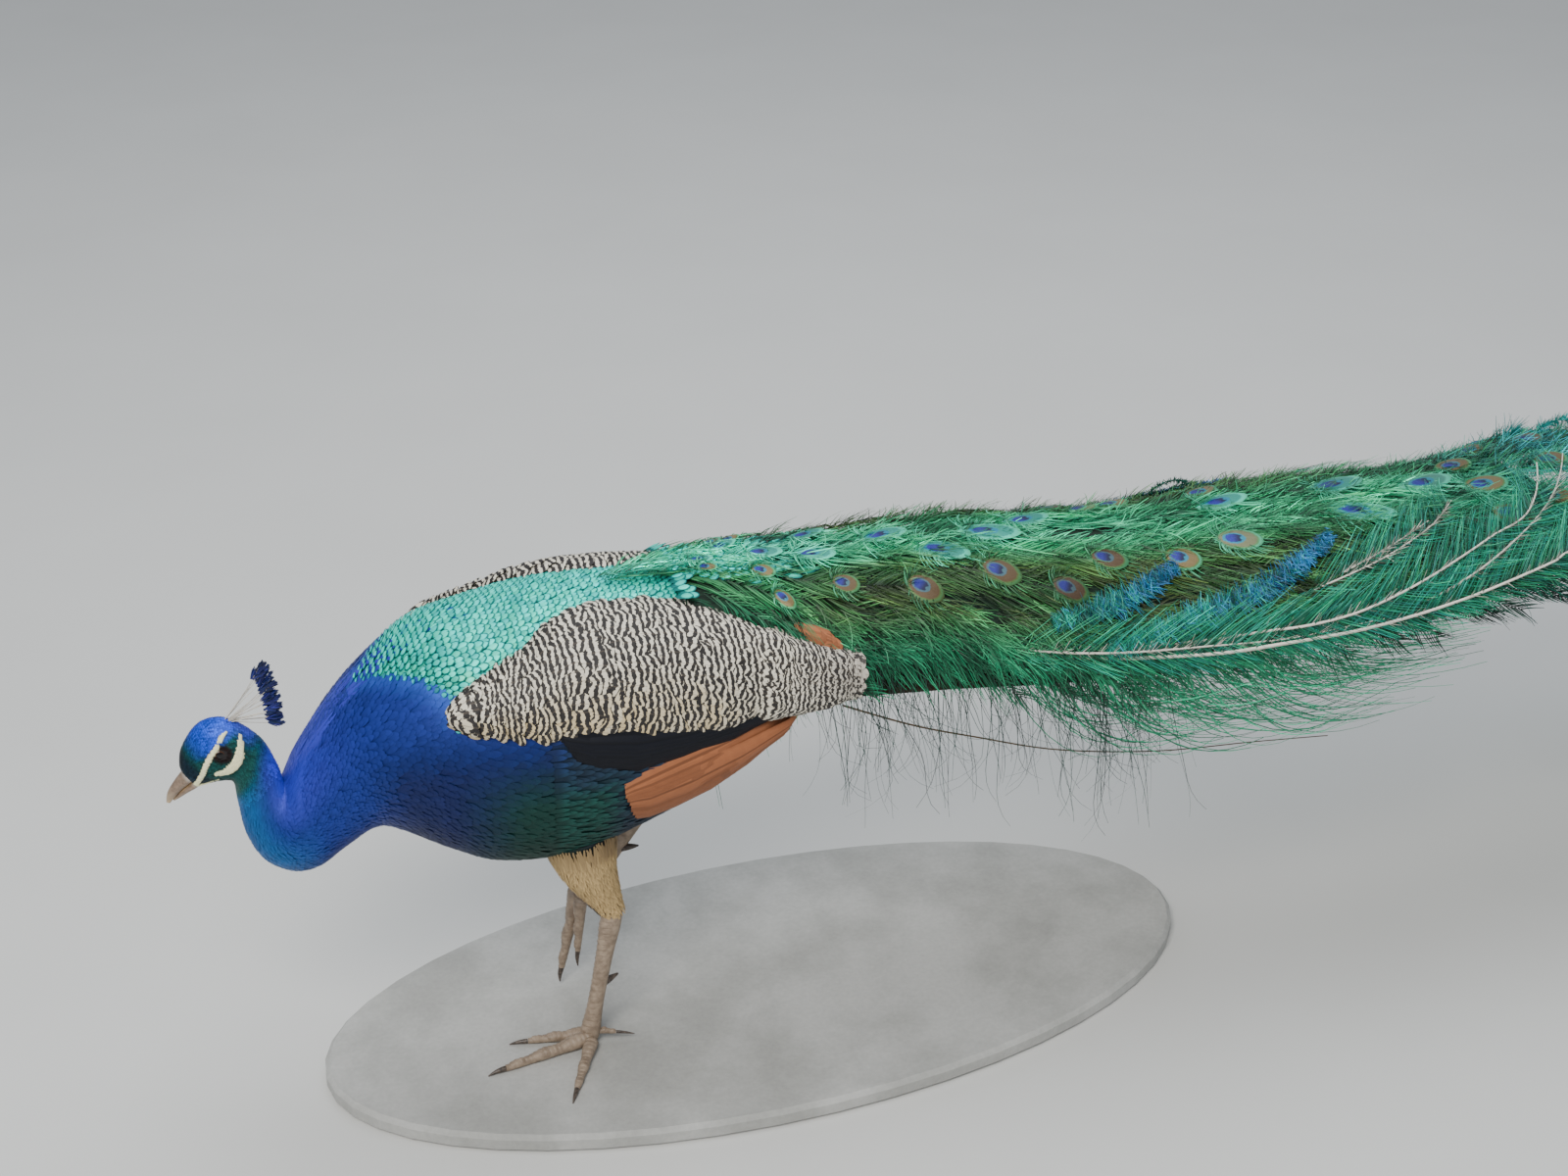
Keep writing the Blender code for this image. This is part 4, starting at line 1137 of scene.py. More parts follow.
def make_back():
    """The green scales of the back, on the body and then on the train's root."""
    finish = back_finish()
    rng = draws(21)
    row, column = BODY.staggered(
        SECTION["lower_neck"], SECTION["hip"] + 6.0, SCALE_PITCH, 2.0, BODY_COLUMNS / 2.0 - 2.0,
        21, 0.16,
    )
    points = BODY.at(row, column)
    width = along(points[:, 0], BACK_HALF_WIDTH) + 0.012
    keep = (back_share(points) > 0.0) & (np.abs(points[:, 1]) < width) & (points[:, 0] < -0.075)
    row, column, points = row[keep], column[keep], points[keep]
    size = 1.0 - 0.30 * eased(back_share(points), 0.045, 0.0)
    gold = rng.random(len(row)) * 0.6 * eased(np.abs(points[:, 1]), 0.02, 0.08)
    ground = layered(
        BACK_GREEN,
        (BACK_TURQUOISE, rng.random(len(row))),
        (BACK_GOLD, gold * (rng.random(len(row)) < 0.4)),
        (EDGE_BLUE, 0.6 * eased(back_share(points), 0.007, 0.0)),
    )
    on_body = vanes(
        BODY, row, column, SCALE_LENGTH * size, SCALE_HALF_WIDTH * size, ground, ribs=5,
        heading=rng.normal(0.0, 0.10, len(row)), root=-0.0030, tip=0.0016, camber=0.25, seed=22,
    )
    low, high = train_column(-0.85), train_column(0.85)
    row, column = TRAIN.staggered(0.0, train_row(0.045), SCALE_PITCH * 1.05, low, high, 23, 0.22)
    share = train_share(column)
    points = TRAIN.at(row, column)
    fade = eased(points[:, 0], -0.055, 0.040)
    beside = eased(np.abs(share), 0.30, 0.46) * eased(points[:, 0], -0.10, -0.08)
    keep = rng.random(len(row)) > fade + beside
    row, column, fade = row[keep], column[keep], fade[keep]
    ground = blend(BACK_GREEN, BACK_TURQUOISE, rng.random(len(row)))
    ground = blend(ground, TRAIN_EMERALD, fade) * rng.uniform(0.6, 1.1, (len(row), 1))
    on_train = vanes(
        TRAIN, row, column, 0.0135 + 0.012 * fade, SCALE_HALF_WIDTH * 0.9, ground, ribs=5,
        heading=rng.normal(0.0, 0.13, len(row)), root=-0.004,
        tip=0.0008 + 0.001 * rng.random(len(row)), camber=0.25, seed=24,
    )
    join_vanes("back_scales", [on_body, on_train], finish)


# ---- wings


COVERT_RAISED = 0.012
# The bars' period down the wing, by share of its length.
BAR_PERIOD = ((0.0, 0.0044), (0.35, 0.0060), (0.70, 0.0064), (0.90, 0.0046), (1.0, 0.0040))


def covert_pitch(row):
    """The coverts' spacing, which opens out from the wing's front."""
    return 0.0062 + 0.0030 * float(eased(row, 0.0, 50.0)) - 0.0040 * float(eased(row, 115.0, 140.0))


def make_wing(side, label):
    """Barred coverts over dark secondaries over chestnut primaries."""
    rng = draws(31 if side > 0 else 32)
    surface = wing_surface(COVERT_SPANS, COVERT_THICKNESS, side, raised=COVERT_RAISED)
    rear, top = surface.rows - 3.0, surface.columns - 1.0
    row, column = surface.staggered(0.5, rear, covert_pitch, 0.3, top, 33, 0.22)
    share, up = row / surface.rows, column / surface.columns
    grown_up = eased(share, 0.0, 0.45)
    last = eased(share, 0.80, 0.99)
    edge = np.maximum(eased(up, 0.80, 1.0), eased(up, 0.16, 0.0) * 0.6)
    length = 0.014 + 0.020 * grown_up - 0.020 * last
    width = 0.0050 + 0.0052 * grown_up - 0.0050 * last
    buff = 0.95 * eased(up, 0.50, 0.08) * eased(share, 0.75, 0.50) * rng.uniform(0.4, 1.0, len(row))
    dusk = eased(share, 0.72, 0.90) * eased(up, 0.05, 0.45)
    ground = layered(COVERT_CREAM, (COVERT_BUFF, buff), (COVERT_GREY, dusk * 0.8))
    part = vanes(
        surface, row, column, length, width, ground, form=COVERT_FORM, ribs=5,
        heading=rng.normal(0.0, 0.10, len(row)) - 0.10 * eased(up, 0.5, 0.0),
        root=-0.0045 - 0.004 * edge, tip=0.0016 - 0.0022 * edge, camber=0.14, seed=34,
    )
    pace = CIRCLE / along(np.arange(surface.rows) / surface.rows, BAR_PERIOD)
    pitch = surface.row_pitch.mean(axis=1)
    reach = np.cumsum(pitch)
    here = picked(reach, row)[:, None, None] + part["measure"][..., 1]
    grey = (dusk * rng.uniform(0.5, 1.0, len(row)))[:, None, None]
    phase = np.interp(here, reach, np.cumsum(pace * pitch))
    part["banding"] = stacked(phase, grey, np.interp(here, reach, pace))
    join_vanes("wing_coverts_" + label, [part], BARRED, ("wing_" + label,))

    for stem, node, spans, thickness, tone, finish, slot, count, half in (
        ("secondary_feathers_", "secondaries_", SECONDARY_SPANS, SECONDARY_THICKNESS,
         SECONDARY_DARK, DARK_FLIGHT, "wing_dark", 13, 0.0125),
        ("primary_feathers_", "primaries_", PRIMARY_SPANS, PRIMARY_THICKNESS,
         PRIMARY_CHESTNUT, CHESTNUT_FLIGHT, "wing_chestnut", 9, 0.0115),
    ):
        under = wing_surface(spans, thickness, side)
        spread = evenly(count)
        column = 1.5 + (under.columns - 3.0) * (1.0 - spread)
        down = np.cumsum(under.row_pitch, axis=0)
        reach = under.read(down, np.full(count, under.rows - 1.0), column)
        start = under.rows * 0.03 + rng.uniform(0.0, 1.0, count) + under.rows * 0.10 * spread
        long = reach * (1.0 - start / under.rows) * (0.97 + 0.03 * rng.random(count))
        ground = np.array(tone) * rng.uniform(0.85, 1.15, (count, 1))
        part = vanes(
            under, start, column, long, half, ground, form=QUILL_FORM, ribs=7,
            root=-0.001 - 0.0007 * spread, tip=0.0006 - 0.0007 * spread, camber=0.10, seed=35,
        )
        join_vanes(stem + label, [part], finish, (node + label,))


def make_rump_patches():
    """The chestnut feathers that show between each wing's rear and the train."""
    rng = draws(38)
    count = 11
    parts = []
    for sign in (-1.0, 1.0):
        x = rng.uniform(-0.002, 0.016, count)
        share = sign * rng.uniform(0.77, 0.86, count)
        ground = np.array(PRIMARY_CHESTNUT) * rng.uniform(0.9, 1.5, (count, 1))
        parts.append(vanes(
            TRAIN, *train_place(x, share), 0.024, 0.0050, ground, form=QUILL_FORM,
            heading=sign * rng.normal(0.10, 0.10, count), root=0.000, tip=0.0050,
            camber=0.15, ribs=5, seed=39,
        ))
    join_vanes("rump_patches", parts, CHESTNUT_FLIGHT)


# ---- legs


def thigh_surface(hip, knee, hock):
    """A feathered thigh."""
    hip, knee = np.array(hip), np.array(knee)
    onward = (hock - knee) / np.linalg.norm(hock - knee)
    stations = (
        (*hip, 0.030, 0.036),
        (*knee, 0.023, 0.026),
        (*(hock - onward * 0.016), 0.0125, 0.0145),
        (*hock, 0.0092, 0.0114),
    )
    return swept_surface(stations, 12, 36)


THIGHS = {
    "thigh_left": thigh_surface((-0.190, -0.050, 0.262), (-0.180, -0.042, 0.214), HOCK_LEFT),
    "thigh_right": thigh_surface((-0.120, 0.056, 0.290), (-0.096, 0.052, 0.262), HOCK_RIGHT),
}


def make_thigh_coats():
    """Small vanes over both thighs, shorter towards the hocks, and darker towards the top with
    painted shade under the belly.
    """
    finish = plumage_finish("thigh_plumage_finish", 0.0009, 0.0, 0.75, edge=0.15)
    for seed, (label, surface) in enumerate(THIGHS.items(), start=41):
        rng = draws(seed)
        row, column = surface.staggered(1.0, surface.rows - 1.0, 0.0029, seed=seed, loose=0.35)
        down = row / surface.rows
        ground = np.array(THIGH_BUFF) * rng.uniform(0.86, 1.10, (len(row), 1))
        # Painted shade towards the top of each thigh, under the belly; it also eases the buff into
        # the belly's dark feathers.
        shade = eased(surface.at(row, column)[:, 2], 0.238, 0.264) * rng.uniform(0.5, 1.0, len(row))
        ground = blend(ground, THIGH_PAINTED_SHADE, shade)
        part = vanes(
            surface, row, column, 0.019 - 0.010 * down, 0.0012, ground, form=TUFT_FORM,
            heading=rng.normal(0.0, 0.16, len(row)), root=-0.0022, tip=0.0006, seed=seed,
        )
        join_vanes(label + "_feathers", [part], finish)


# ---- the train

TRAIN = train_surface()
TRAIN_STEP = TRAIN.row_pitch.mean()


def train_wide(row, column):
    """How far apart the train's columns are there."""
    return TRAIN.read(TRAIN.column_pitch, *np.broadcast_arrays(row, column))


def picked(values, on):
    """Values, or rows of them, read between their steps at the places in on."""
    steps = np.arange(len(values))
    if values.ndim == 1:
        return np.interp(on, steps, values)
    return stacked(*(np.interp(on, steps, part) for part in values.T))


def gathered(cells):
    """Dicts of arrays joined into one."""
    return {key: np.concatenate([cell[key] for cell in cells]) for key in cells[0]}


# The eyes' radii down the train, as (x, radius).
EYE_SPREAD = (
    (-0.10, 0.0060), (0.00, 0.0105), (0.10, 0.0148), (0.30, 0.0172), (0.60, 0.0195), (1.25, 0.0220),
)
# The eyes of the left side and the ridge, as (x, share, how deep in painted shade).
EYE_PLACES = (
    (-0.066, -0.10, 0.2), (-0.062, -0.26, 0.3), (-0.040, 0.12, 0.2), (-0.015, -0.30, 0.1),
    (-0.010, -0.05, 0.2), (-0.005, -0.57, 0.3), (0.032, -0.11, 0.1), (0.040, 0.16, 0.3),
    (0.052, -0.40, 0.6), (0.102, 0.00, 0.0), (0.120, -0.485, 0.7), (0.145, -0.195, 0.3),
    (0.194, -0.375, 0.7), (0.199, -0.05, 0.0), (0.247, 0.075, 0.2), (0.252, -0.475, 0.9),
    (0.302, -0.29, 1.0), (0.324, 0.26, 0.3), (0.374, -0.33, 0.15), (0.434, -0.26, 0.1),
    (0.449, 0.075, 0.3), (0.571, -0.125, 0.1), (0.581, 0.15, 0.2), (0.676, 0.085, 0.3),
    (0.731, -0.265, 0.5), (0.736, 0.005, 0.1),
)
REAR_EYE_LINES = (-0.78, -0.46, -0.15, 0.16, 0.47, 0.79)
EYE_FORM = (
    (0.0, 0.30), (0.05, 0.55), (0.14, 0.78), (0.28, 0.95), (0.45, 1.0), (0.62, 0.97), (0.80, 0.79),
    (0.93, 0.50), (1.0, 0.22),
)
EYE_PATCH_SIZE = 0.030
RIM_BARBS = 40


def eye_places():
    """Where the train's eyes lie, as rows of x, share, radius and how deep in painted shade."""
    rng = draws(51)
    found = [list(place_at) for place_at in EYE_PLACES]
    for x, share, dark in EYE_PLACES:
        if share < -0.2:
            found.append([x + rng.uniform(-0.02, 0.02), -share + rng.uniform(-0.05, 0.05), dark])
    for line, share in enumerate(REAR_EYE_LINES):
        for k in range(6):
            x = 0.800 + 0.082 * (k + 0.5 * (line % 2)) + rng.uniform(-0.012, 0.012)
            if x < 1.170 - 0.19 * share * share:
                found.append([x, share + rng.uniform(-0.05, 0.05), rng.uniform(0.0, 0.6)])
    x, share, dark = np.array(found).T
    return stacked(x, share, along(x, EYE_SPREAD) * rng.uniform(0.90, 1.08, len(x)), dark)


def train_tone(x, share, hue):
    """The train's colour: turquoise on its ridge, partly painted sheen, bronze down its sides,
    emerald at its edges.
    """
    side = np.abs(share)
    # On the ridge, turquoise: partly the feathers' own colour, partly painted sheen where the top
    # faces the light.
    ridge = eased(side, 0.36, 0.06) * (1.0 - 0.50 * eased(x, 0.25, 0.60)) * (0.18 + 0.82 * hue)
    bronze = eased(side, 0.12, 0.36) * eased(side, 0.98, 0.60)
    bronze = bronze * eased(x, -0.02, 0.05) * eased(x, 0.75, 0.40)
    return layered(
        TRAIN_EMERALD,
        (TRAIN_TURQUOISE, ridge),
        (BACK_GREEN, ridge * eased(x, 0.10, -0.04) * 0.6),
        (TRAIN_BRONZE, bronze * (0.35 + 0.65 * hue)),
        (TRAIN_DEEP, eased(side, 0.60, 0.95) * 0.8),
        (TRAIN_TEAL, eased(x, 0.55, 0.95) * hue),
        (TRAIN_AQUA, eased(x, 0.70, 1.00) * eased(hue, 0.45, 0.90) * 0.8),
    )


def lying_barbs(
    row, column, angle, turn, length, low, high, width, hue, power, seed, steps=6, colour=None,
):
    """Barbs that lie on the train.

    angle is off the train's run towards its right edge and changes by turn, low and high are the
    heights of root and tip, hue picks the colour and power makes it darker or lighter.
    """
    rng = draws(seed)
    count = len(row)
    t = evenly(steps)[None, :]
    row, column, angle, turn, length, low, high, hue, power = per_feather(
        count, 1, row, column, angle, turn, length, low, high, hue, power,
    )
    heading = angle + turn * t
    step = length / (steps - 1) * (t > 0.0)
    run, side = (np.cumsum(turned(heading) * step, axis=1) for turned in (np.cos, np.sin))
    rows = row + run / TRAIN.read(TRAIN.row_pitch, row, column)
    columns = column + side / train_wide(row, column)
    wave = rng.normal(0.0, 0.0008, (count, 1)) * np.sin(t * 5.0 + rng.uniform(0.0, 6.0, (count, 1)))
    lines = TRAIN.at(rows, columns, low + (high - low) * t**0.8 + wave)
    normals = TRAIN.read(TRAIN.normals, rows, columns)
    sides = unit(np.cross(normals, unit(np.gradient(lines, axis=1))))
    roll = rng.normal(0.0, 0.45, (count, 1))[..., None]
    sides = sides * np.cos(roll) + normals * np.sin(roll)
    if colour is None:
        share = train_share(columns)
        hues = np.broadcast_to(hue, share.shape)
        colour = train_tone(lines[..., 0].ravel(), share.ravel(), hues.ravel())
        colour = colour.reshape(*share.shape, 3)
    else:
        colour = colour[:, None, :]
    # Darker towards each barb's root: partly its own colour, partly painted shade in the gaps where
    # barbs lie under others.
    colour = colour * ((0.16 + 1.15 * t**0.7) * power)[..., None]
    bake = stacked(row[:, 0] / TRAIN.rows, column[:, 0] / TRAIN.columns) * 0.96 + 0.02
    return ribbons(lines, sides, width, colour, bake, seed)


def make_train():
    """The train: a bed of painted shade, loose-barbed feathers, eyes, combs, quills and fringes."""
    eyes = eye_places()
    finish = barb_finish("train_barb_finish")
    make_train_bed()
    make_field(finish)
    make_eyed_feathers(eyes, finish)
    make_eye_plates(eyes)
    make_eye_rims(eyes, finish)
    make_train_fluff()
    make_wisps()
    make_quills()
    make_combs()
    make_loose_tips()
    make_rump_patches()


# The bed's start and length along the train, and the share of the train's breadth it fills.
BED_FROM, BED_LENGTH, BED_SHARE = -0.088, 0.90, 0.97


def make_train_bed():
    """A closed body under the train's feathers, thickest along its middle, near black with green
    streaks as painted shade in the gaps between them.
    """

    def where(down, round_):
        x = BED_FROM + BED_LENGTH * down
        over = round_ < 0.5
        turn = np.where(over, round_, 1.0 - round_)
        share = BED_SHARE * (4.0 * turn - 1.0)
        drawn = along(x, TRAIN_REACH)
        edge = 1.0 - np.abs(share / BED_SHARE) ** 3
        thin = np.where(over, 0.007, 0.007 + 0.030 * edge * eased(x, 0.80, 0.10))
        points = train_points(x, share * drawn)
        points[:, 2] -= thin
        points[:, 1] *= BED_SHARE
        for end in (down < 1e-6, down > 1.0 - 1e-6):
            points[end] = points[end].mean(axis=0) if end.any() else points[end]
        return points

    made = Finish("train_bed_shade_finish", roughness=0.8)
    x, y, z = made.split(made.here(), "XYZ")
    streak = made.noise(1.0, 4.0, at=made.vector(x * 60.0, y * 400.0, z * 400.0))
    # Near-black green streaks: painted shade for the deep gaps between the feathers.
    colour = made.mix(streak.between(0.35, 0.65), BED_SHADE_DARK, BED_SHADE_GREEN)
    finish = made.finish(colour, streak, depth=0.003, strength=0.8)
    bed = mesh_of(grown(120, 48, where), "train_bed_shade")
    nodes = ("train_root", "train_middle", "train_end")
    place("train_bed_shade", bed, finish, nodes)


# The small feathers' spacing, where they part into two pieces, and their barbs' spacing.
FIELD_PITCH = 0.0300
FIELD_SPLIT = 0.42
BARB_GAP = 0.0034


def feather_power(rng, count):
    """How light each feather is: most are middling, some dark, a few bright."""
    return np.clip(np.exp(rng.normal(-0.10, 0.62, count)), 0.18, 2.60)


def make_field(finish):
    """The train's small feathers: shafts in staggered rows, with long barbs that sweep outwards."""
    rng = draws(56)
    low, high = train_column(-0.98), train_column(0.98)
    row, column = TRAIN.staggered(0.0, train_row(1.130), FIELD_PITCH, low, high, 57, 0.45)
    x = TRAIN_START + row / (TRAIN_ROWS - 1) * (TRAIN_END - TRAIN_START)
    share = train_share(column) * along(x, TRAIN_REACH) * 0.98
    keep = (x > 0.0) | (np.abs(share) > 0.32)
    row, column, share, x = row[keep], train_column(share)[keep], share[keep], x[keep]
    shaft = 0.055 + 0.035 * eased(x, 0.0, 0.3)
    # Painted shade: darker in the hollow of the sides behind x 0.42. Painted highlight: up to 45%
    # lighter towards the ridge.
    hollow_shade = eased(x, 0.42, 0.56) * eased(np.abs(share), 0.18, 0.34)
    power = feather_power(rng, len(x)) * (1.0 + 0.45 * eased(np.abs(share), 0.34, 0.0))
    power = power * (1.0 - 0.72 * hollow_shade)
    hue = rng.random(len(x))
    lean = np.sign(share) * (0.10 + 0.34 * np.abs(share)) + rng.normal(0.0, 0.10, len(x))
    for half, chosen in enumerate((x < FIELD_SPLIT, x >= FIELD_SPLIT), start=1):
        cells = []
        for k in np.flatnonzero(chosen):
            count = int(shaft[k] / BARB_GAP)
            on = evenly(count) * shaft[k]
            rows = row[k] + on * math.cos(lean[k]) / TRAIN_STEP
            edge = eased(abs(share[k]) / along(x[k], TRAIN_REACH), 0.68, 0.95)
            for outward in (1.0, -1.0):
                sign = np.sign(share[k]) * outward
                if outward > 0.0:
                    long = (0.042 + 0.040 * rng.random()) * (1.0 - 0.62 * edge)
                    spread = sign * rng.uniform(0.55, 0.80)
                else:
                    long = 0.022 + 0.016 * rng.random()
                    spread = sign * rng.uniform(0.45, 0.70)
                cells.append(dict(
                    row=rows,
                    column=column[k] + on * math.sin(lean[k]) / train_wide(rows, column[k]),
                    angle=lean[k] + spread + rng.normal(0.0, 0.05, count),
                    turn=-spread * rng.uniform(0.35, 0.75, count),
                    length=long * rng.uniform(0.85, 1.12, count) * (1.0 - 0.30 * on / shaft[k]),
                    high=rng.normal(0.0010, 0.0016, count),
                    hue=np.full(count, hue[k]),
                    power=power[k] * np.exp(rng.normal(0.0, 0.34, count)),
                ))
        cells = gathered(cells)
        width = rng.uniform(0.0009, 0.0016, len(cells["row"]))
        part = lying_barbs(**cells, low=-0.0045, width=width, seed=58 + half)
        join_vanes(f"train_field_{half}", [part], finish)


def make_eyed_feathers(eyes, finish):
    """The loose barbs of each eyed feather's shaft, before its eye."""
    rng = draws(54)
    nodes = [f"train_feather_{i + 1}" for i in range(10)]
    for number, group in enumerate(np.array_split(np.argsort(eyes[:, 0]), 2), start=1):
        cells = []
        for x, share, radius in eyes[group, :3]:
            reach = 0.060 + 3.0 * radius
            count = int(reach / 0.0026)
            back = evenly(count)
            on = radius * 0.9 + reach * back
            lean = np.sign(share) * 0.35 * abs(share)
            power = float(feather_power(rng, 1)[0])
            row, column = train_place(x, share)
            row = row - on * math.cos(lean) / TRAIN_STEP
            long = radius * (1.3 + 2.2 * np.sin(math.pi * np.clip(back, 0.0, 0.80)) ** 0.8)
            for side in (-1.0, 1.0):
                spread = side * rng.uniform(0.60, 0.85)
                cells.append(dict(
                    row=row,
                    column=column - on * math.sin(lean) / train_wide(row, column),
                    angle=lean + spread + rng.normal(0.0, 0.05, count),
                    turn=-spread * rng.uniform(0.4, 0.8, count),
                    length=long * rng.uniform(0.85, 1.15, count),
                    low=0.0015 - 0.0060 * back,
                    high=0.0035 - 0.0035 * back + rng.normal(0.0, 0.0010, count),
                    hue=np.full(count, rng.random()),
                    power=power * np.exp(rng.normal(0.0, 0.20, count)),
                ))
        cells = gathered(cells)
        width = rng.uniform(0.0009, 0.0015, len(cells["row"]))
        part = lying_barbs(**cells, width=width, seed=60 + number)
        replaced = nodes if number == 2 else ()
        join_vanes(f"train_barbs_{number}", [part], finish, replaced)


def eye_heading(share):
    """How far an eyed feather's tip turns outwards."""
    return np.sign(share) * (0.10 + 1.15 * np.abs(share))


def make_eye_plates(eyes):
    """The eyes themselves: crowned plates, larger on the train's ridge and paler there, partly with
    painted sheen.
    """
    rng = draws(52)
    x, share, radius, dark = eyes.T
    row, column = train_place(x, share)
    # Paler ridge eyes: partly painted sheen.
    pale = eased(np.abs(share), 0.32, 0.18) * eased(x, 0.80, 0.62)
    radius = radius * (1.0 + 0.16 * pale)
    half = radius * (0.92 - 0.22 * pale)
    heading = eye_heading(share) * rng.uniform(0.75, 1.25, len(eyes))
    ground = train_tone(x, share, rng.random(len(eyes))) * 1.3
    part = vanes(
        TRAIN, row - radius * 1.1 * np.cos(heading) / TRAIN_STEP,
        column - radius * 1.1 * np.sin(heading) / train_wide(row, column),
        radius * (2.25 + 0.7 * pale), half, blend(ground, TRAIN_MINT, pale * 0.6), form=EYE_FORM,
        ribs=9, heading=heading, root=0.0004, tip=0.0046, camber=0.10, seed=53,
    )
    onward = part["vane"][..., 1] - 0.5
    side = part["measure"][..., 0] / half[:, None, None]
    # The third value: how deep each eye lies in painted shade, below 0 for the ridge's painted
    # sheen.
    part["eye"] = stacked(onward * 2.2, side, (dark * (1.0 - pale) - pale)[:, None, None])
    u = (row / TRAIN.rows * 0.96 + 0.02)[:, None, None] + onward * EYE_PATCH_SIZE
    w = (column / TRAIN.columns * 0.96 + 0.02)[:, None, None] + side * EYE_PATCH_SIZE
    part["bake"] = stacked(u, w)
    join_vanes("train_eyes", [part], eye_feather_finish())


def make_eye_rims(eyes, finish):
    """Loose barbs that leave each eye's rim, mint above and bronze-green below, with less mint on
    eyes in painted shade and mint all round on the ridge, partly painted sheen.
    """
    rng = draws(55)
    turn = np.arange(RIM_BARBS) + rng.random((len(eyes), RIM_BARBS))
    turn = turn / RIM_BARBS * CIRCLE
    x, share, radius, dark = (eyes[:, k][:, None] for k in range(4))
    heading = eye_heading(share)
    ahead, aside = radius * 0.84 * (np.cos(turn) * 1.08), radius * 0.84 * np.sin(turn)
    run = ahead * np.cos(heading) - aside * np.sin(heading)
    side = ahead * np.sin(heading) + aside * np.cos(heading)
    row, column = train_place(x, share)
    angle = np.arctan2(side, run) * 0.72 + heading * 0.28
    upper = np.cos(turn - math.pi * 0.75 * np.sign(share)) * 0.5 + 0.5
    ridge = eased(np.abs(share), 0.32, 0.18)
    # Less mint on eyes in painted shade; mint all round on the ridge, partly painted sheen.
    upper = np.maximum(upper * (0.65 - 0.45 * dark), ridge * 0.9)
    tail = 1.0 + ridge * 1.3 * np.cos(turn) ** 2
    mint = upper.ravel() * rng.uniform(0.6, 1.0, upper.size) * 0.8
    around = (np.broadcast_to(value, turn.shape).ravel() for value in (x, share))
    colour = blend(train_tone(*around, rng.random(turn.size)), TRAIN_MINT, mint)
    part = lying_barbs(
        (row + run / TRAIN_STEP).ravel(), (column + side / train_wide(row, column)).ravel(),
        angle.ravel(), (-angle * 0.45).ravel(),
        (radius * rng.uniform(0.55, 1.15, turn.shape) * tail).ravel(), 0.0036,
        rng.normal(0.0025, 0.0010, turn.size), rng.uniform(0.0009, 0.0014, turn.size), 0.5,
        np.exp(rng.normal(0.25, 0.25, turn.size)), 59, steps=5, colour=colour,
    )
    join_vanes("eye_rim_barbs", [part], finish)


# How many tufts, and the barbs in each.
SIDE_TUFTS = (620, 13)
LIFTED_TUFTS = (340, 9)


def make_train_fluff():
    """Short green barbs in tufts on the train's lower sides."""
    rng = draws(71)
    tufts, barbs = SIDE_TUFTS
    x = -0.02 + 0.80 * rng.random(tufts) ** 0.9
    share = rng.uniform(0.62, 0.97, tufts) * along(x, TRAIN_REACH) * rng.choice((-1.0, 1.0), tufts)
    aim = np.sign(share) * rng.uniform(0.15, 1.05, tufts)
    power = feather_power(rng, tufts) * 1.1
    hue = rng.random(tufts)
    share, x, aim, power, hue = (np.repeat(values, barbs) for values in (share, x, aim, power, hue))
    count = len(x)
    part = lying_barbs(
        *train_place(x + rng.normal(0.0, 0.004, count), share + rng.normal(0.0, 0.03, count)),
        aim + rng.normal(0.0, 0.22, count), np.sign(share) * rng.normal(0.15, 0.35, count),
        rng.uniform(0.018, 0.040, count), rng.uniform(-0.006, 0.002, count),
        rng.uniform(0.0, 0.007, count), rng.uniform(0.0008, 0.0013, count), hue, power, 72,
    )
    tufts, barbs = LIFTED_TUFTS
    x = np.repeat(0.02 + 1.05 * rng.random(tufts), barbs)
    share = np.repeat(rng.uniform(0.10, 0.66, tufts) * rng.choice((-0.35, 1.0, 1.0), tufts), barbs)
    hue = np.repeat(rng.random(tufts), barbs)
    power = np.repeat(feather_power(rng, tufts), barbs)
    count = len(x)
    lifted = lying_barbs(
        *train_place(x + rng.normal(0.0, 0.006, count), share + rng.normal(0.0, 0.03, count)),
        np.sign(share) * 0.35 + rng.normal(0.0, 0.40, count), rng.normal(0.0, 0.40, count),
        rng.uniform(0.016, 0.036, count), 0.001, rng.uniform(0.003, 0.015, count),
        rng.uniform(0.0008, 0.0012, count), hue, power, 73,
    )
    join_vanes("train_fluff", [part, lifted], barb_finish("train_fluff_finish"))


def free_barbs(lines, width, colour, bake, seed, taper=0.4):
    """Barbs that hang or stand clear, each turned its own way."""
    rng = draws(seed)
    count = len(lines)
    aside = unit(stacked(rng.normal(0.0, 0.5, count), 1.0, rng.normal(0.0, 0.5, count)))
    sides = unit(np.cross(unit(np.gradient(lines, axis=1)), aside[:, None, :]))
    return ribbons(lines, sides, width, colour, bake, seed, taper)


HAIRS = 300
CURLS = 420
SHORT_BARBS = 460


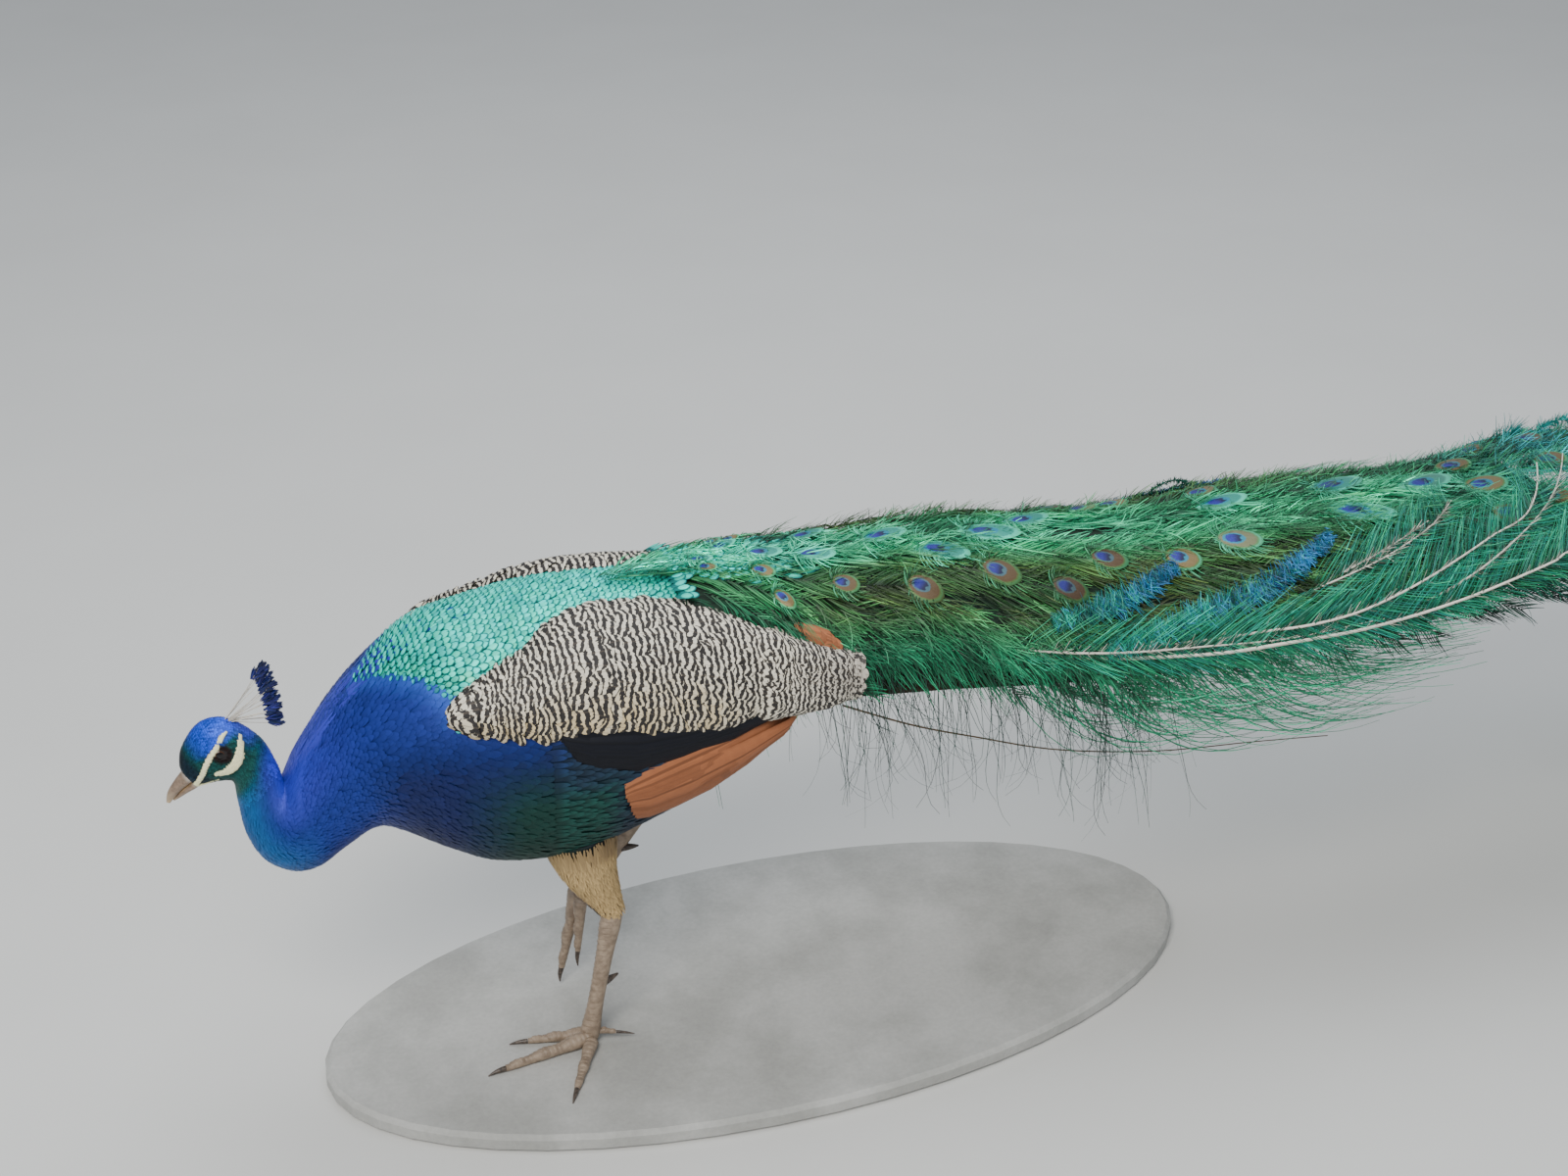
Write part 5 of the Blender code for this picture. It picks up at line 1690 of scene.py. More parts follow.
def make_wisps():
    """Hair-thin dark barbs and long green curls that hang under the train's two edges."""
    rng = draws(73)
    finish = barb_finish("wisp_finish", 0.6, 0.1)
    t = evenly(12)[None, :]
    for sign, label in ((-1.0, "left"), (1.0, "right")):
        count = HAIRS
        x = -0.010 + 0.34 * rng.random(count)
        start = train_points(x, sign * rng.uniform(0.72, 1.00, count))
        start[:, 2] -= 0.008
        drop = rng.uniform(0.05, 0.165, count) * eased(x, -0.05, 0.03)
        drift = rng.normal(0.018, 0.022, count)
        sway = rng.normal(0.0, 0.0045, (count, 1)) * np.sin(t * rng.uniform(3.0, 8.0, (count, 1)))
        hook = rng.normal(0.0, 0.020, (count, 1)) * np.clip(t - 0.70, 0.0, 1.0) ** 2 * 8.0
        hairs = stacked(
            start[:, :1] + drift[:, None] * t + sway + hook,
            start[:, 1:2] + sign * rng.normal(0.0, 0.006, (count, 1)) * t,
            start[:, 2:] - drop[:, None] * t + np.abs(hook) * 0.4,
        )
        tone = blend(HAIR_DARK, HAIR_GREEN, rng.random(count))
        bake = stacked(x + 0.05, 0.3)
        groups = [free_barbs(hairs, rng.uniform(0.0005, 0.0008, count), tone, bake, 74)]
        count = CURLS
        x = 0.175 + 0.40 * rng.random(count)
        start = train_points(x, sign * rng.uniform(0.84, 0.98, count) * along(x, TRAIN_REACH))
        start[:, 2] -= 0.004
        reach = rng.uniform(0.08, 0.225, count) * eased(x, 0.66, 0.42)
        fall = rng.uniform(0.35, 0.95, count) * np.minimum(reach, 0.125) * eased(x, 0.62, 0.34)
        bend = rng.uniform(0.9, 1.5, (count, 1))
        curls = stacked(
            start[:, :1] + reach[:, None] * t**1.25,
            start[:, 1:2] + sign * rng.normal(0.004, 0.008, (count, 1)) * t,
            start[:, 2:] - fall[:, None] * np.sin(math.pi * 0.5 * np.minimum(t * bend, 1.35)),
        )
        tone = blend(CURL_DARK, CURL_GREEN, rng.random(count))
        tone = tone * rng.uniform(0.5, 1.5, (count, 1))
        bake = stacked(x * 0.8, 0.6)
        groups.append(free_barbs(curls, rng.uniform(0.0008, 0.0014, count), tone, bake, 75))
        count = SHORT_BARBS
        x = 0.26 + 0.70 * rng.random(count)
        start = train_points(x, sign * rng.uniform(0.90, 1.02, count) * along(x, TRAIN_REACH))
        reach = rng.uniform(0.018, 0.045, count)
        down = reach * rng.uniform(0.10, 0.55, count)
        short = stacked(
            start[:, :1] + reach[:, None] * t,
            start[:, 1:2] + sign * 0.006 * t,
            start[:, 2:] - down[:, None] * (t * 1.3 - 0.4 * t * t),
        )[:, ::2]
        tone = blend(TRAIN_DEEP, TRAIN_EMERALD, rng.random(count))
        tone = tone * rng.uniform(0.4, 1.4, (count, 1))
        bake = stacked(x * 0.9, 0.9)
        groups.append(free_barbs(short, rng.uniform(0.0007, 0.0012, count), tone, bake, 76))
        node = "train_fringe_" + label
        join_vanes("train_wisps_" + label, groups, finish, (node,))


def tubes(lines, radius, ground, bake, taper, sides=6):
    """Quills as round tubes along lines of points, their radius given once or at each step."""
    count, steps = lines.shape[:2]
    tangent = unit(np.gradient(lines, axis=1))
    level = unit(np.cross(tangent, np.array((0.0, 0.0, 1.0)) + 1e-3))
    upward = np.cross(level, tangent)
    turn = CIRCLE * np.arange(sides + 1) / sides
    v = evenly(steps)[None, :, None] + np.zeros((count, 1, sides + 1))
    size = np.asarray(radius, float)[..., None] * (1.0 - (1.0 - taper) * v)
    points = (
        lines[:, :, None, :]
        + level[:, :, None, :] * (size * np.cos(turn))[..., None]
        + upward[:, :, None, :] * (size * np.sin(turn))[..., None]
    )
    s = np.broadcast_to(np.cos(turn), v.shape)
    return line_strands(lines, points, s, v, 1, s * size, bake, ground)


def quill_finish():
    """Quills: cream streaked with brown, darker along both flanks of the tube as painted shade."""
    made = Finish("quill_finish", roughness=0.38)
    onward, side = made.part("measure", "Y"), made.part("vane", "X")
    streak = made.noise(6.0, 3.0, at=made.vector(onward * 20.0, side, 0.0))
    # Painted shade on the tube's two flanks.
    tone = streak * 0.4 + 0.75 - side.size().between(0.55, 1.0) * 0.35
    colour = made.mix(streak.between(0.54, 0.68) * 0.6, made.ground(), QUILL_STREAK)
    return made.finish(made.shade(colour, tone), streak, depth=0.0002, strength=0.3)


# The long bare quills on the left side, as (radius, height, places as (x, share)).
QUILLS = (
    (0.0020, 0.0080, (
        (0.135, -0.90), (0.227, -0.865), (0.319, -0.875), (0.414, -0.92), (0.499, -0.93),
        (0.561, -0.885), (0.614, -0.815), (0.671, -0.73), (0.731, -0.64), (0.756, -0.58),
        (0.840, -0.46), (0.940, -0.36),
    )),
    (0.0016, 0.0095, (
        (0.179, -0.815), (0.297, -0.805), (0.417, -0.835), (0.464, -0.85), (0.514, -0.82),
        (0.569, -0.72), (0.631, -0.57), (0.686, -0.435), (0.731, -0.34), (0.768, -0.175),
        (0.808, 0.065),
    )),
    (0.0012, 0.0070, (
        (0.150, -0.855), (0.260, -0.835), (0.360, -0.850), (0.450, -0.905), (0.540, -0.875),
    )),
    (0.0010, 0.0060, ((0.456, -0.675), (0.544, -0.545), (0.629, -0.33), (0.679, -0.14))),
    (0.0010, 0.0055, ((0.501, -0.585), (0.544, -0.51), (0.589, -0.40), (0.636, -0.275))),
    (0.0013, 0.0085, (
        (0.546, -0.875), (0.619, -0.715), (0.671, -0.58), (0.736, -0.38), (0.793, -0.155),
        (0.851, 0.13),
    )),
)
LOW_QUILL = (
    (0.038, -0.090, 0.359), (0.103, -0.090, 0.326), (0.164, -0.090, 0.301), (0.247, -0.090, 0.270),
    (0.348, -0.090, 0.247), (0.452, -0.090, 0.235), (0.532, -0.090, 0.225),
)
QUILL_STEPS = 60
QUILL_DOWN = 160


def quill_places(places):
    """A quill's row and column on the train, step by step, and its heading there."""
    fine = smoothed(places, 10)
    row, column = train_place(*picked(fine, np.linspace(0.0, len(fine) - 1.0, QUILL_STEPS)).T)
    run = np.gradient(row) * TRAIN.read(TRAIN.row_pitch, row, column)
    side = np.gradient(column) * train_wide(row, column)
    return row, column, np.arctan2(side, run)


def make_quills():
    """Cream quills low on the sides, thick before they thin out, with rows of parallel barbs."""
    rng = draws(81)
    quills = [(radius, height, 1.0, places) for radius, height, places in QUILLS]
    quills += [(*QUILLS[0][:2], -1.0, QUILLS[0][2][:8])]
    share = evenly(QUILL_STEPS)
    made = []
    groups = []
    s = evenly(4)[None, :]
    for number, (radius, height, sign, places) in enumerate(quills):
        row, column, heading = quill_places([(x, side * sign) for x, side in places])
        sunk = eased(share, 1.0, 0.8) if sign < 0.0 else 1.0
        rise = (height + 0.006) * eased(share, -0.02, 0.30) * sunk - 0.006
        line = TRAIN.at(row, column, rise)
        cream = np.array((QUILL_CREAM,)) * (1.0 - 0.03 * number)
        bake = np.array(((0.08 + 0.1 * number, 0.2),))
        swell = radius * eased(share, -0.05, 0.16) * (1.0 - 0.55 * share)
        made.append(tubes(line[None], swell[None], cream, bake, 1.0, sides=8))
        for inward in (1.0, -1.0):
            gap, long = (0.0026, 0.066) if inward > 0.0 else (0.0034, 0.036)
            count = int(np.linalg.norm(np.diff(line, axis=0), axis=1).sum() / gap)
            on = np.linspace(0.10, 0.93, count) * (QUILL_STEPS - 1.0)
            turn = sign * inward
            fresh, teal = rng.random(count), rng.random(count) * 0.6
            tone = layered(TRAIN_DEEP, (TRAIN_FRESH, fresh), (TRAIN_TEAL, teal))
            groups.append(lying_barbs(
                picked(row, on), picked(column, on),
                picked(heading, on) + turn * (0.62 + rng.normal(0.0, 0.04, count)),
                -turn * rng.uniform(0.15, 0.35, count), long * rng.uniform(0.75, 1.1, count),
                picked(rise, on), height * rng.uniform(0.5, 1.6, count),
                rng.uniform(0.0006, 0.0011, count), 0.5, np.exp(rng.normal(0.25, 0.35, count)),
                82 + number, steps=8, colour=tone,
            ))
        count = QUILL_DOWN
        on = rng.uniform(0.12, 0.85, count) * (QUILL_STEPS - 1.0)
        start = picked(line, on)[:, None, :]
        ahead, aside = rng.uniform(0.5, 1.0, count), rng.normal(0.0, 0.3, count)
        way = unit(stacked(ahead, aside, rng.normal(0.15, 0.7, count)))[:, None, :]
        path = start + way * (rng.uniform(0.006, 0.014, (count, 1)) * s)[..., None]
        tone = np.array(QUILL_CREAM) * rng.uniform(0.3, 0.7, (count, 1))
        spot = stacked(on / QUILL_STEPS, 0.12 + 0.10 * number) * 0.9 + 0.04
        groups.append(free_barbs(path, 0.0005, tone, spot, 90 + number))
    loose = smoothed(LOW_QUILL, 10)[None]
    made.append(tubes(loose, 0.0009, np.array((LOW_QUILL_BROWN,)), bake, 0.5))
    join_vanes("side_quills", made, quill_finish())
    join_vanes("quill_barbs", groups, barb_finish("quill_barb_finish"))


# The sword feathers' dense blue combs on the train's left side, as (x, share).
COMBS = (
    ((0.225, -0.68), (0.257, -0.63), (0.284, -0.585), (0.317, -0.525), (0.339, -0.45),
     (0.364, -0.39)),
    ((0.270, -0.84), (0.307, -0.775), (0.339, -0.725), (0.374, -0.665), (0.412, -0.635),
     (0.441, -0.595), (0.471, -0.51), (0.501, -0.415), (0.525, -0.33)),
)
TUFT_GAP = 0.0016
TUFT_BARBS = 11


def make_combs():
    """Dense blue combs of short clumped barbs on the sword feathers, on both sides."""
    rng = draws(91)
    parts = []
    for number, places in enumerate(COMBS):
        for sign in (1.0, -1.0):
            fine = smoothed(places, 12)
            points = TRAIN.at(*train_place(fine[:, 0], fine[:, 1] * sign))
            steps = np.linalg.norm(np.diff(points, axis=0), axis=1)
            reach = np.concatenate([[0.0], np.cumsum(steps)])
            tufts = int(reach[-1] / TUFT_GAP)
            on = np.repeat(np.linspace(0.0, reach[-1], tufts), TUFT_BARBS)
            on = on + rng.normal(0.0, 0.0010, len(on))
            x, share = (np.interp(on, reach, fine[:, k]) for k in range(2))
            share = share * sign if sign > 0.0 else np.maximum(np.abs(share), 0.66)
            run = np.gradient(train_row(fine[:, 0])) * TRAIN_STEP
            slope = np.arctan2(np.gradient(points[:, 1]) * 1.3, run)
            lean = np.interp(on, reach, slope)
            side = rng.choice((-1.0, 1.0), len(on))
            share = share - side * rng.uniform(-0.01, 0.06, len(on))
            clump = np.exp(rng.normal(-0.05, 0.34, tufts // 4 + 1))
            clump = np.repeat(clump, TUFT_BARBS * 4)[: len(on)]
            down = on / reach[-1]
            size = 0.0160 * np.sin(math.pi * np.clip(down * 0.92 + 0.06, 0.0, 1.0)) ** 0.4
            blue = eased(down + rng.normal(0.0, 0.30, len(on)), 0.15, 0.95)
            parts.append(lying_barbs(
                *train_place(x, share), lean + side * rng.normal(1.25, 0.20, len(on)),
                side * rng.normal(0.0, 0.35, len(on)), size * rng.uniform(0.35, 1.25, len(on)),
                0.0050, rng.uniform(0.0040, 0.0100, len(on)),
                rng.uniform(0.0007, 0.0010, len(on)), 0.5,
                clump * np.exp(rng.normal(0.1, 0.25, len(on))), 92 + number, steps=5,
                colour=blend(COMB_TEAL, TRAIN_BLUE, blue),
            ))
    join_vanes("sword_combs", parts, barb_finish("sword_comb_finish"))


# Feather tips that stand clear on the far side: foot, way, length, bend, half width, teal share.
LOOSE_TIPS = (
    ((0.838, 0.145, 0.352), (0.45, 0.10, 0.50), 0.058, -0.5, 0.024, 1.0),
    ((0.845, 0.150, 0.374), (0.90, 0.00, 0.45), 0.080, -0.9, 0.010, 0.8),
    ((0.900, 0.150, 0.372), (0.70, 0.10, 0.60), 0.075, -1.1, 0.010, 0.8),
    ((0.425, 0.105, 0.400), (0.35, 0.00, 0.75), 0.060, -1.8, 0.004, 0.1),
    ((0.440, 0.108, 0.398), (0.70, 0.05, 0.60), 0.075, -1.5, 0.005, 0.1),
)
TIP_STEPS = 14
TIP_BARBS = 220


def make_loose_tips():
    """Fluffy and curled feather tips that stand up behind the train's ridge."""
    rng = draws(95)
    groups = []
    t = evenly(TIP_STEPS)
    s = evenly(5)[None, :, None]
    count = TIP_BARBS
    for number, (foot, way, length, bend, half, teal) in enumerate(LOOSE_TIPS):
        way = unit(np.array(way))
        climb = math.atan2(way[2], way[0]) + bend * t
        step = length / (TIP_STEPS - 1.0) * (t > 0.0)
        run, rise = np.cumsum(np.cos(climb) * step), np.cumsum(np.sin(climb) * step)
        line = np.array(foot) + stacked(run, way[1] * length * t, rise)
        bake = np.array(((0.1 + 0.1 * number, 0.5),))
        dark = blend(TRAIN_DEEP, COMB_TEAL, np.array((teal,)))
        groups.append(free_barbs(line[None], 0.0012, dark * 0.6, bake, 96))
        on = rng.uniform(2.0, TIP_STEPS - 1.1, count)
        turn = picked(climb, on) + rng.normal(0.0, 0.9, count)
        aim = unit(stacked(np.cos(turn), rng.normal(0.0, 0.35, count), np.sin(turn)))[:, None, :]
        span = half * rng.uniform(0.6, 1.3, (count, 1, 1)) * s
        path = picked(line, on)[:, None, :] + aim * span
        tone = blend(TRAIN_DEEP, TRAIN_TEAL, rng.random(count) * 0.4 + teal * 0.6)
        tone = tone * rng.uniform(0.6, 1.6, (count, 1)) * (0.5 + 1.2 * teal)
        spot = np.repeat(bake, count, axis=0) + rng.uniform(-0.03, 0.03, (count, 2))
        groups.append(free_barbs(path, 0.0009, tone, spot, 97 + number))
    join_vanes("loose_tips", groups, barb_finish("loose_tip_finish"))


# ---- bill, eyes and crest


def head_point(onward, up, side=0.0):
    """A place in the head's own frame."""
    return HEAD_CENTRE + HEAD_AHEAD * onward + HEAD_CROWN * up + np.array((0.0, side, 0.0))


# The bill's halves as (ahead, up, half width, half height), from the face to the tip.
UPPER_BILL = (
    (0.0384, 0.0042, 0.0080, 0.0056), (0.0480, 0.0032, 0.0058, 0.0048),
    (0.0580, 0.0006, 0.0036, 0.0036), (0.0655, -0.0032, 0.0009, 0.0012),
)
LOWER_BILL = (
    (0.0384, -0.0050, 0.0068, 0.0037), (0.0480, -0.0044, 0.0046, 0.0029),
    (0.0560, -0.0046, 0.0026, 0.0017), (0.0610, -0.0046, 0.0009, 0.0009),
)


def bill_finish():
    """Horn, paler along the gape and the tip, with a painted highlight at the root and fine lines
    down its length.
    """
    made = Finish("bill_horn_finish", roughness=0.35, coat_weight=0.25, coat_roughness=0.25)
    under, tip = made.part("lie", "XY")
    streak = made.noise(420.0, 4.0)
    colour = made.over(
        HORN_DARK,
        (streak.between(0.25, 0.80), HORN_PALE), (tip.between(0.55, 1.0) * 0.6, HORN_TIP),
        # A painted highlight on the bill's root.
        (under.between(0.55, 0.9) * 0.75, HORN_GAPE), (tip.between(0.16, 0.02) * 0.7, HORN_ROOT_HIGHLIGHT),
    )
    return made.finish(colour, streak, depth=0.0003, strength=0.35)


def grown_piece(name, surface, rows, columns, height, finish, lie=None):
    """A closed skin over a swept surface in place of the solid of its name.

    lie gives what the finish reads at each point, if anything.
    """
    mesh = mesh_of(closed_grown(surface, rows, columns, height), name)
    if lie is not None:
        keep_data(mesh, "lie", lie(points_of(mesh)))
    place(name, mesh, finish, (name,))


def make_bill():
    """The bill's two halves, each a closed horn lofted along its own profile."""
    horn = bill_finish()
    for name, profile, flip in (("bill_upper", UPPER_BILL, 1.0), ("bill_lower", LOWER_BILL, -1.0)):
        root = (profile[0][0] - 0.006, profile[0][1], profile[0][2] * 0.9, profile[0][3] * 0.9)
        stations = [(*head_point(f, n), w, h) for f, n, w, h in (root, *profile)]
        surface = swept_surface(stations, 10, 40)

        def height(row, column):
            points = surface.at(row, column)
            ahead, up = head_place(points)
            side = np.abs(points[:, 1])
            hole = np.exp(-(((ahead - 0.0445) / 0.0024) ** 2) - ((up - 0.0062) / 0.0009) ** 2)
            ridge = np.exp(-((side / 0.0012) ** 2)) * 0.0004
            return (ridge - hole * 0.0013 * (side > 0.002)) * (flip > 0.0)

        def lie(points):
            ahead, up = head_place(points)
            level = -0.0012 - 0.04 * (ahead - 0.038)
            gape = np.clip(1.0 - np.abs(up - level) / 0.0025, 0.0, 1.0)
            return stacked(gape, (ahead - 0.036) / 0.030, points[:, 1] * 100.0)

        grown_piece(name, surface, 56, 40, height, horn, lie)


def eye_finish():
    """A wet dark eye: a black pupil in a brown iris."""
    made = Finish(
        "eye_gloss_finish", roughness=0.16, coat_weight=0.20, coat_roughness=0.05,
        specular_ior_level=0.3,
    )
    off = made.part("lie", "X")
    flecks = made.noise(2500.0, 3.0)
    return made.finish(made.over(
        IRIS_DARK, (flecks.between(0.3, 0.7), IRIS_BROWN), (off.between(0.56, 0.48), PUPIL),
        (off.between(0.86, 0.95), EYE_RIM),
    ))


def make_eyes():
    """Both eyes, each a glossy ball within a ring of bare lid."""
    gloss = eye_finish()
    lid = bare_finish("eyelid_finish", LID_DARK, LID_PALE, 700.0, 0.45)
    for sign, label in ((-1.0, "left"), (1.0, "right")):
        centre = EYE_CENTRE * np.array((1.0, sign, 1.0))
        ball = bmesh.new()
        bmesh.ops.create_uvsphere(ball, u_segments=48, v_segments=32, radius=EYE_RADIUS)
        bmesh.ops.translate(ball, verts=ball.verts, vec=centre)
        mesh = mesh_of(ball, "eye_" + label)
        points = points_of(mesh) - centre
        off = np.hypot(points[:, 0], points[:, 2]) / EYE_RADIUS
        keep_data(mesh, "lie", stacked(off, 0.0, 0.0))
        place("eye_" + label, mesh, gloss, ("eye_" + label,))

        def lid_ring(down, round_):
            turn = CIRCLE * down
            tube = CIRCLE * round_
            pinch = 0.80 + 0.20 * np.abs(np.cos(turn))
            reach = EYE_RADIUS * (0.90 + 0.16 * np.cos(tube))
            ahead = np.cos(turn) * reach * 1.02
            crown = np.sin(turn) * reach * pinch
            out = EYE_RADIUS * (0.42 + 0.15 * np.sin(tube)) - 0.0008 * np.abs(np.sin(turn))
            offset = HEAD_AHEAD[None, :] * ahead[:, None] + HEAD_CROWN[None, :] * crown[:, None]
            offset[:, 1] = out * sign
            return centre + offset

        place("eyelid_" + label, mesh_of(grown(48, 12, lid_ring), "lid"), lid)


def make_crest():
    """Bare buff shafts in a fan, each with a spoon-shaped blue tip of loose barbs."""
    rng = draws(101)
    count = CREST_SHAFTS
    spread = (np.arange(count) + 0.5) / count
    turn = CREST_LOW + (CREST_HIGH - CREST_LOW) * spread
    reach = CREST_LOW_REACH + (CREST_HIGH_REACH - CREST_LOW_REACH) * spread**2.2
    reach = reach * rng.uniform(0.93, 1.0, count)
    aim = stacked(np.cos(turn), rng.uniform(-0.05, 0.05, count), np.sin(turn))
    foot = CREST_ROOT + stacked(
        0.009 * (0.5 - spread), rng.uniform(-0.0022, 0.0022, count), 0.004 * (spread - 0.5),
    ) - aim * 0.003
    t = evenly(10)[None, :, None]
    bow = stacked(-np.sin(turn), 0.0, np.cos(turn)) * rng.normal(0.0, 0.0010, (count, 1))
    lines = foot[:, None, :] + aim[:, None, :] * (reach[:, None, None] * t * SHAFT_SHARE)
    lines = lines + bow[:, None, :] * np.sin(math.pi * t)
    bake = stacked(spread, 0.3) * 0.9 + 0.05
    ground = np.array(QUILL_CREAM) * rng.uniform(0.55, 0.95, (count, 1))
    shafts = tubes(lines, 0.00034, ground, bake, 0.6)
    join_vanes("crest_shafts", [shafts], quill_finish(), ("crest",))
    parts = []
    aside = np.array((0.0, 1.0, 0.0))
    for k in range(count):
        place_on = np.sort(rng.random(CREST_BARBS)) * SPOON_REACH + SPOON_START
        start = foot[k] + aim[k] * (reach[k] * SHAFT_SHARE * place_on)[:, None]
        fan = rng.uniform(-1.0, 1.0, CREST_BARBS)
        lean = 0.75 * fan * (1.15 - (place_on - SPOON_START) * 2.6)
        across = np.array((-math.sin(turn[k]), 0.0, math.cos(turn[k])))
        roll = rng.normal(0.0, 0.22, (CREST_BARBS, 1))
        way = unit(aim[k] + across * lean[:, None] + aside * roll)
        length = 0.0092 - 0.0042 * (place_on - SPOON_START) / SPOON_REACH
        s = evenly(4)[None, :, None]
        path = start[:, None, :] + way[:, None, :] * length[:, None, None] * s
        path = path + (aim[k] - way)[:, None, :] * (0.0020 * s**2)
        sides = unit(np.cross(unit(np.gradient(path, axis=1)), aside))
        tone = blend(CREST_DARK, CREST_BLUE, rng.random(CREST_BARBS))
        tone = tone * (0.5 + 0.9 * rng.random((CREST_BARBS, 1)))
        spot = stacked(k / count, place_on) * 0.9 + 0.05
        parts.append(ribbons(path, sides, 0.0014, tone, spot, 110 + k, taper=0.35))
    join_vanes("crest_tips", parts, barb_finish("crest_tip_finish", 0.5, 0.25))


# ---- shanks, toes, claws and spurs

TARSUS_PROFILE = (
    (-0.06, 0.0072, 0.0088), (0.12, 0.0080, 0.0098), (0.35, 0.0062, 0.0080),
    (0.75, 0.0062, 0.0072), (1.00, 0.0085, 0.0090), (1.07, 0.0075, 0.0070),
)
SPUR_PROFILE = ((0.0, 0.0042), (0.012, 0.0032), (0.022, 0.0008))
TOE_SOLE = 0.0183
TOE_PROFILE = (
    (0.0, 1.0), (0.22, 0.95), (0.38, 0.78), (0.55, 0.88), (0.72, 0.68), (0.87, 0.72), (0.96, 0.55),
    (1.0, 0.545),
)
CLAW_PROFILE = (
    (0.0, 1.0, 0.0), (0.12, 1.0, 0.0), (0.45, 0.8, 0.05), (0.75, 0.5, 0.45), (1.0, 0.2, 1.0),
)


def scute_height(surface, pitch, relief, way, spread):
    """Overlapping scutes on the side of a swept surface that faces a way, plain skin elsewhere."""
    run = np.cumsum(surface.row_pitch.mean(axis=1))
    ring = surface.points[surface.rows // 2]
    middle = CIRCLE * np.argmax((ring - ring.mean(axis=0)) @ way) / surface.columns

    def height(row, column):
        reach = picked(run, row)
        angle = CIRCLE * column / surface.columns
        facing = np.clip(np.cos(angle - middle) * spread, 0.0, 1.0)
        step = np.mod(reach / pitch + 0.12 * np.cos(angle * 2.0), 1.0)
        return facing * (step**0.5 - 0.6) * eased(step, 1.0, 0.88) * relief

    return height


def make_leg(label, hock, heel, inward, scutes, horn):
    shin = heel - hock
    stations = [(*(hock + shin * share), w, h) for share, w, h in TARSUS_PROFILE]
    surface = swept_surface(stations, 14, 40)
    height = scute_height(surface, 0.0062, 0.0011, np.array((-1.0, 0.0, 0.0)), 1.6)
    grown_piece("tarsus_" + label, surface, 220, 40, height, scutes)
    back = np.array((1.0, inward * 0.35, 0.15))
    back = back / np.linalg.norm(back)
    root = hock + shin * 0.62
    spur = [(*(root + back * reach), size, size) for reach, size in SPUR_PROFILE]
    grown_piece("spur_" + label, swept_surface(spur, 12, 24), 24, 24, 0.0, horn)


def make_toe(name, root, ahead, up, length, size, droop, scutes, horn):
    """A toe of soft pads under overlapping scutes, and its hooked claw."""
    toe_length = length - CLAW_LENGTH
    side_axis = np.cross(ahead, up)
    rows = []
    for share, fullness in TOE_PROFILE:
        half = size * fullness * (1.0 - 0.25 * share)
        middle = root + ahead * toe_length * share + up * (half - droop * share)
        rows.append((*middle, half, half))
    surface = swept_surface(rows, 14, 32, side_axis)
    height = scute_height(surface, 0.0046, 0.0010, up, 1.5)
    grown_piece(name, surface, 150, 32, height, scutes)
    tip_half = rows[-1][3] * 0.85
    end = np.array(rows[-1][:3])
    onward = unit(end - np.array(rows[-2][:3]))
    claw = []
    for share, fullness, fall in CLAW_PROFILE:
        spot = end + onward * (0.0003 + CLAW_LENGTH * share) - up * (tip_half * 0.8 * fall)
        claw.append((*spot, tip_half * fullness, tip_half * fullness * 1.05))
    surface = swept_surface(claw, 10, 24, side_axis)
    grown_piece(name + "_claw", surface, 36, 24, 0.0, horn)


def make_legs():
    """Both legs from the hock down: the shanks, the toes and their claws."""
    scutes = bare_finish("leg_scute_finish", SCUTE_DARK, SCUTE_PALE, 150.0, 0.5, 0.22)
    horn = bare_finish("claw_horn_finish", CLAW_DARK, CLAW_PALE, 420.0, 0.35)
    make_leg("left", HOCK_LEFT, HEEL_LEFT, 1.0, scutes, horn)
    make_leg("right", HOCK_RIGHT, HEEL_RIGHT, -1.0, scutes, horn)
    up = np.array((0.0, 0.0, 1.0))
    root = np.array((HEEL_LEFT[0] - 0.002, HEEL_LEFT[1] - 0.003, TOE_SOLE))
    for name, spread, length, size, outward in TOES:
        ahead = np.array((-math.cos(spread), -math.sin(spread), 0.0))
        start = root - np.array((0.0, outward, 0.0))
        make_toe("toe_left_" + name, start, ahead, up, length, size, 0.0, scutes, horn)
    ahead = unit(np.array((1.0, -0.25, -0.02)))
    lifted = HEEL_LEFT - np.array((0.0, 0.0, 0.003))
    make_toe("toe_left_hind", lifted, ahead, up, 0.040, 0.0042, 0.002, scutes, horn)
    down = unit(np.array((-0.17, 0.0, -1.0)))
    front = unit(np.array((-1.0, 0.0, 0.17)))
    for name, spread, length, size, outward in TOES:
        ahead = unit(down + np.array((-0.10 * (name == "middle"), math.sin(spread * 0.16), 0.0)))
        start = HEEL_RIGHT + np.array((0.0, outward * 1.3, 0.0))
        make_toe("toe_right_" + name, start, ahead, front, length, size, 0.0, scutes, horn)
    ahead = unit(np.array((0.55, 0.0, -1.0)))
    make_toe("toe_right_hind", HEEL_RIGHT, ahead, front, 0.038, 0.0040, 0.0, scutes, horn)


# ---- tail, base, floor, light and camera

TAIL_HEIGHT = ((0.0, 0.350), (0.12, 0.352), (0.27, 0.348), (0.36, 0.343), (0.385, 0.341))
TAIL_QUILLS = 18
TAIL_HALF_WIDTH = 0.100
TAIL_ROWS = 60
TAIL_COLUMNS = 41


